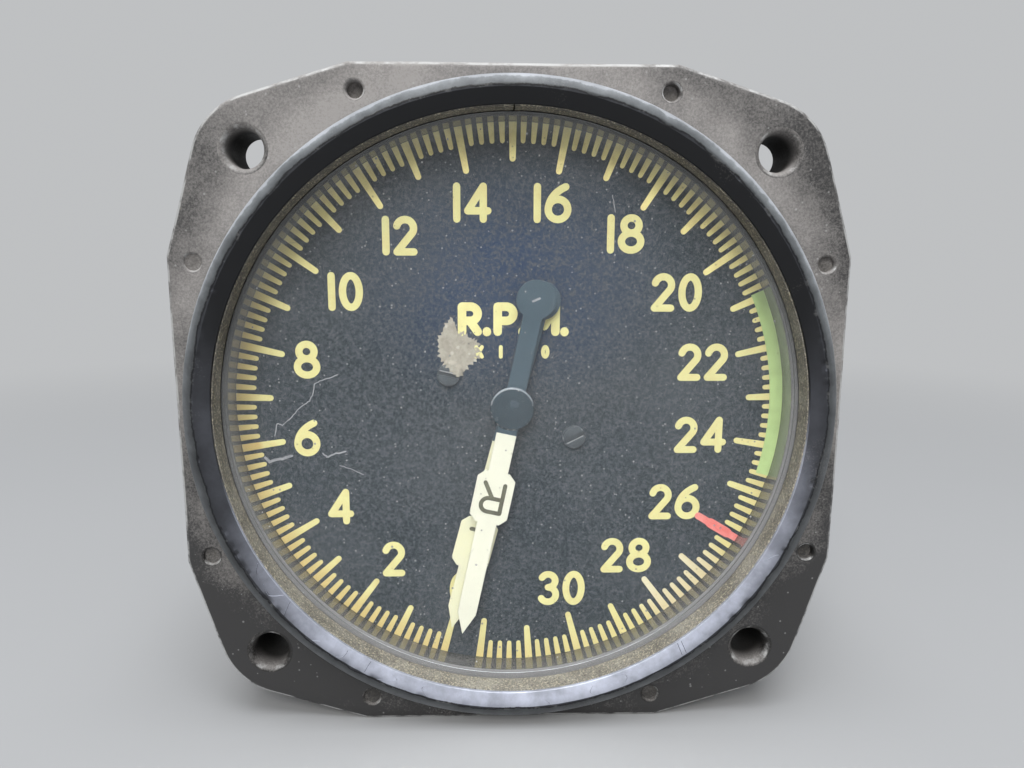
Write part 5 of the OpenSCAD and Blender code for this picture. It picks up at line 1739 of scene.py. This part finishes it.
def make_rear():
    """Rear cover with its screws."""
    size = sizes("rear")
    y_front, y_back = front("rear_cover"), back("rear_cover")
    wide = reach("rear_cover")
    groove = 0.35 * MM
    lip = 3.0 * MM
    edge = wide - 2 * lip
    corners = [
        (0, y_front, 0), (wide, y_front, 0.15 * MM), (wide, y_back, size.cover_edge),
        (edge, y_back, 0.1 * MM), (edge - groove, y_back - groove, 0.1 * MM),
        (edge - 2 * groove, y_back, 0.1 * MM), (0, y_back, 0)]
    turned_piece("cover", corners, 240, case_paint(), "case_black", "rear_cover")
    draw = random.Random(5)
    head_r = size.cover_screw_head / 2
    height = back("rear_cover_screws") - y_back
    head = facing_back(screw_head(head_r, height, slot_wide=0.8 * MM, slot_deep=0.7 * MM))
    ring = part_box("rear_cover_screws")[1].z - head_r
    spins = [draw.uniform(0, math.pi) for _ in range(size.cover_screws)]
    heads = ring_of(head, size.cover_screws, ring, y_back, 0.0, spins)
    mesh = joined("cover_screws", heads)
    add_piece("cover_screws", mesh, screw_steel(), "case", "steel", "rear_cover_screws")


def make_receptacles():
    """Two threaded receptacles with their inserts, pins and screws."""
    size = sizes("rear")
    plate_back = back("receptacle_trim")
    shell_end = back("receptacle_shells")
    plate_front = back("rear_cover") + size.pad_thick
    shell_start = front("receptacle_shells")
    face = plate_front + size.plate_thick
    insert_face = back("receptacle_inserts")
    small = 0.15 * MM

    def edge(angle):
        return square_reach(angle, size.plate_half, 0.0, 0.0, size.plate_corner)

    base = plate("receptacle_plate", edge, size.shell_bore, plate_front, face, 0.3 * MM, steps=240, rings=3)
    root = size.shell - size.thread_depth
    sleeve = size.shell_bore + size.sleeve
    thread = [(size.shell_bore, shell_start), (sleeve, shell_start), (sleeve, face - small)]
    thread += [(size.shell, face - small), (size.shell, face + size.thread_pitch)]
    y = face + size.thread_pitch
    flat = 0.12 * size.thread_pitch
    while y + size.thread_pitch < shell_end - 0.6 * MM:
        thread.append((root, y + 0.5 * size.thread_pitch - flat))
        thread.append((root, y + 0.5 * size.thread_pitch + flat))
        thread.append((size.shell, y + size.thread_pitch - flat))
        thread.append((size.shell, y + size.thread_pitch))
        y += size.thread_pitch
    thread += [(size.shell - 0.1 * MM, shell_end - 0.45 * MM), (size.shell - 0.55 * MM, shell_end)]
    lead_in = 0.25 * MM
    thread += [(size.shell_bore + lead_in, shell_end), (size.shell_bore, shell_end - lead_in)]
    shell = lathe("receptacle_shell", thread, 96, sharp=25)
    dish = size.pin_ring + 1.5 * MM
    dish_floor = insert_face - 0.3 * MM
    outline = rounded([
        (0, front("receptacle_inserts"), 0), (size.shell_bore, front("receptacle_inserts"), 0),
        (size.shell_bore, insert_face, 0.2 * MM), (dish, insert_face, 0.1 * MM),
        (dish, dish_floor, 0.1 * MM), (0, dish_floor, 0)])
    insert = lathe("receptacle_insert", outline, 96)
    pin_r = size.pin / 2
    pin_end = back("contact_pins")
    corners = ring_corners(0, pin_r, front("contact_pins"), pin_end, 0, small, 0.6 * pin_r)
    pin = lathe("contact_pin", rounded(corners), 32)
    head_r = size.plate_screw_head / 2
    height = plate_back - face
    head = facing_back(screw_head(head_r, height, slot_wide=0.6 * MM, slot_deep=0.5 * MM))
    draw = random.Random(11)
    shells, inserts, pins, heads, gaskets = [], [], [], [], []

    def pad_edge(angle):
        return edge(angle) - 0.15 * MM

    y_pad = back("rear_cover")
    pad = plate(
        "receptacle_pad", pad_edge, size.shell_bore, y_pad, plate_front, 0.1 * MM, steps=240, rings=2)
    for side in (-1, 1):
        shift = Vector((side * size.receptacle_place, 0, 0))
        shells += [moved(base, shift), moved(shell, shift)]
        inserts.append(moved(insert, shift))
        gaskets.append(moved(pad, shift))
        for contact in ring_of(pin, size.pins, size.pin_ring, 0.0):
            pins.append(moved(contact, shift))
        for x in (-1, 1):
            for z in (-1, 1):
                spot = shift + Vector((x * size.plate_screw, face, z * size.plate_screw))
                heads.append(moved(head, spot, draw.uniform(0, math.pi)))
    zinc = bare_metal("shell_aluminium", (0.56, 0.57, 0.58), (0.4, 0.4, 0.4), 0.3, 0.5)
    add_piece("shells", joined("shells", shells, 25), zinc, "case", "bare_aluminium", "receptacle_shells")
    phenolic = moulded("insert_brown", (0.075, 0.04, 0.022), (0.12, 0.068, 0.036), 0.45)
    mesh = joined("inserts", inserts)
    add_piece("inserts", mesh, phenolic, "case", "insert_brown", "receptacle_inserts")
    gold = bare_metal("contact_gold", (0.74, 0.56, 0.24), (0.56, 0.4, 0.16), 0.2, 0.35)
    add_piece("pins", joined("pins", pins), gold, "case", "contact_gold", "contact_pins")
    mesh = joined("receptacle_screws", heads)
    add_piece("receptacle_screws", mesh, screw_steel(), "case", "steel", "receptacle_trim")
    add_piece("receptacle_pads", joined("receptacle_pads", gaskets), pad_rubber(), "case", "black_rubber")


def slot_finishes():
    """Finish of each material slot, for the packed nodes that keep their shape."""
    return {
        "brass": bare_metal("brass", (0.68, 0.5, 0.22), (0.46, 0.33, 0.14)),
        "bronze": bare_metal("bronze", (0.5, 0.3, 0.13), (0.34, 0.2, 0.09)),
        "steel": bare_metal("steel", (0.56, 0.57, 0.58), (0.42, 0.42, 0.42)),
        "spring_blue": bare_metal(
            "spring_blue", (0.12, 0.18, 0.34), (0.18, 0.2, 0.3), 0.2, 0.35, turned=False),
        "stack_iron": bare_metal("stack_iron", (0.16, 0.165, 0.17), (0.1, 0.09, 0.08), 0.45, 0.65),
        "bare_aluminium": bare_metal("bare_aluminium", (0.66, 0.67, 0.68), (0.52, 0.52, 0.52)),
        "copper": wound_copper(),
        "lead_red": moulded("lead_red", (0.36, 0.06, 0.045), (0.46, 0.1, 0.07), 0.55, 1600.0),
        "black_rubber": pad_rubber(),
        "screw_black": dark_metal_paint("screw_black", (0.05, 0.055, 0.06), (0.09, 0.095, 0.1), 0.3, 0.5),
    }


def make_movement():
    """Finishes of the packed pieces inside the case."""
    by_slot = slot_finishes()
    shown = set()
    for piece in bpy.data.objects:
        if "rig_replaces" in piece:
            shown.update(piece["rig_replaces"])
    for node, part in frame["nodes"].items():
        if node in shown:
            continue
        name = part.data.materials[0].name.split(".")[0]
        if name not in by_slot:
            raise RuntimeError(node + " has the slot " + name + ", which has no finish")
        refinish(node, by_slot[name])


def add_lamp(name, spot, half_x, half_y, power, shade):
    """A soft lamp that faces the frame's origin."""
    lamp = bpy.data.lights.new(name, "AREA")
    lamp.shape = "RECTANGLE"
    lamp.size = 2 * half_x
    lamp.size_y = 2 * half_y
    lamp.energy = power
    lamp.color = shade
    holder = bpy.data.objects.new(name, lamp)
    holder.location = spot
    holder.rotation_euler = (-Vector(spot)).to_track_quat("-Z", "Y").to_euler()
    bpy.context.scene.collection.objects.link(holder)


def make_stage():
    """Floor, lamps, sky and camera."""
    size = sizes("stage")
    scene = bpy.context.scene
    scene.view_settings.view_transform = "Standard"
    half = size.floor_half
    low = CAD_BOX[0].z
    floor = bpy.data.meshes.new("floor")
    corners = [(-half, -half, low), (half, -half, low), (half, half, low), (-half, half, low)]
    floor.from_pydata(corners, [], [(0, 1, 2, 3)])
    ground = bpy.data.objects.new("floor", floor)
    floor.materials.append(pale_floor())
    scene.collection.objects.link(ground)
    add_lamp("overhead", (0.0, -0.22, 0.8), 0.3, 0.3, size.overhead_power, (0.95, 0.97, 1.0))
    add_lamp("front", (-0.14, -0.88, 0.64), 0.3, 0.25, size.front_power, (1.0, 0.985, 0.96))
    world = bpy.data.worlds.new("sky")
    scene.world = world
    world.use_nodes = True
    sky = Nodes(world.node_tree)
    sky.feed(Color=(0.9, 0.94, 1.0), Strength=size.sky_strength)
    backdrop = sky.put("Background", {"Color": finishes().backdrop, "Strength": 1.0})
    sky.show(background_rays(sky), backdrop)
    lens = bpy.data.cameras.new("camera")
    lens.lens = size.camera_lens
    lens.clip_start = 5 * MM
    camera = bpy.data.objects.new("camera", lens)
    aim = Matrix.Rotation(size.camera_roll, 3, "Y") @ Matrix.Rotation(size.camera_pitch, 3, "X")
    aim = aim @ Matrix.Rotation(-size.camera_yaw, 3, "Z")
    aimed = aim.transposed() @ Matrix.Rotation(math.pi / 2, 3, "X")
    camera.matrix_world = Matrix.Translation(Vector(size.camera_place)) @ aimed.to_4x4()
    scene.collection.objects.link(camera)
    scene.camera = camera


# Operators

class TACHOMETER_OT_stage(bpy.types.Operator):
    """Set the floor, the lamps and the camera"""
    bl_idname = "tachometer.stage"
    bl_label = "Stage"

    def execute(self, context):
        make_stage()
        return {"FINISHED"}


class TACHOMETER_OT_case(bpy.types.Operator):
    """Build the flange and the barrel of the case, and the dirt in its small holes"""
    bl_idname = "tachometer.case"
    bl_label = "Case"

    def execute(self, context):
        make_case()
        make_hole_dirt()
        return {"FINISHED"}


class TACHOMETER_OT_bezel(bpy.types.Operator):
    """Build the bezel"""
    bl_idname = "tachometer.bezel"
    bl_label = "Bezel"

    def execute(self, context):
        make_bezel()
        return {"FINISHED"}


class TACHOMETER_OT_glass(bpy.types.Operator):
    """Build the retaining ring, the glass and the rings behind it"""
    bl_idname = "tachometer.glass"
    bl_label = "Glass and rings"

    def execute(self, context):
        make_glass_stack()
        return {"FINISHED"}


class TACHOMETER_OT_dial(bpy.types.Operator):
    """Build the dial plate and its screws"""
    bl_idname = "tachometer.dial"
    bl_label = "Dial"

    def execute(self, context):
        make_dial()
        return {"FINISHED"}


class TACHOMETER_OT_scale(bpy.types.Operator):
    """Paint the dial's ticks, numerals, words, arc and limit line, and add its flaked patch and scratches"""
    bl_idname = "tachometer.scale"
    bl_label = "Scale"

    def execute(self, context):
        make_scale()
        make_flake()
        return {"FINISHED"}


class TACHOMETER_OT_pointers(bpy.types.Operator):
    """Build both pointers"""
    bl_idname = "tachometer.pointers"
    bl_label = "Pointers"

    def execute(self, context):
        make_pointers()
        return {"FINISHED"}


class TACHOMETER_OT_rear(bpy.types.Operator):
    """Build the rear cover and its screws"""
    bl_idname = "tachometer.rear"
    bl_label = "Rear cover"

    def execute(self, context):
        make_rear()
        return {"FINISHED"}


class TACHOMETER_OT_receptacles(bpy.types.Operator):
    """Build both receptacles"""
    bl_idname = "tachometer.receptacles"
    bl_label = "Receptacles"

    def execute(self, context):
        make_receptacles()
        return {"FINISHED"}


class TACHOMETER_OT_movement(bpy.types.Operator):
    """Finish the pieces inside the case"""
    bl_idname = "tachometer.movement"
    bl_label = "Movement"

    def execute(self, context):
        make_movement()
        return {"FINISHED"}


OPERATORS = (
    TACHOMETER_OT_stage, TACHOMETER_OT_case, TACHOMETER_OT_bezel, TACHOMETER_OT_glass, TACHOMETER_OT_dial,
    TACHOMETER_OT_scale, TACHOMETER_OT_pointers, TACHOMETER_OT_rear, TACHOMETER_OT_receptacles,
    TACHOMETER_OT_movement)

GROUPS = {
    "tachometer_front": FrontSizes,
    "tachometer_dial": DialSizes,
    "tachometer_pointers": PointerSizes,
    "tachometer_rear": RearSizes,
    "tachometer_stage": StageSizes,
    "tachometer_finishes": Finishes,
}


class TACHOMETER_PT_panel(bpy.types.Panel):
    """Lists the steps that dress the tachometer"""
    bl_idname = "TACHOMETER_PT_panel"
    bl_label = "Tachometer"
    bl_space_type = "VIEW_3D"
    bl_region_type = "UI"
    bl_category = "Tachometer"

    def draw(self, context):
        for step in OPERATORS:
            self.layout.operator(step.bl_idname)


def register():
    """Registers the properties, the operators and the panel."""
    for name, group in GROUPS.items():
        bpy.utils.register_class(group)
        setattr(bpy.types.Scene, name, PointerProperty(type=group))
    for step in OPERATORS:
        bpy.utils.register_class(step)
    bpy.utils.register_class(TACHOMETER_PT_panel)


def unregister():
    """Removes what register added."""
    bpy.utils.unregister_class(TACHOMETER_PT_panel)
    for step in reversed(OPERATORS):
        bpy.utils.unregister_class(step)
    for name, group in GROUPS.items():
        delattr(bpy.types.Scene, name)
        bpy.utils.unregister_class(group)


def main():
    """Dresses the whole tachometer."""
    register()
    bpy.ops.tachometer.stage()
    bpy.ops.tachometer.case()
    bpy.ops.tachometer.bezel()
    bpy.ops.tachometer.glass()
    bpy.ops.tachometer.dial()
    bpy.ops.tachometer.scale()
    bpy.ops.tachometer.pointers()
    bpy.ops.tachometer.rear()
    bpy.ops.tachometer.receptacles()
    bpy.ops.tachometer.movement()


if __name__ == "__main__":
    main()
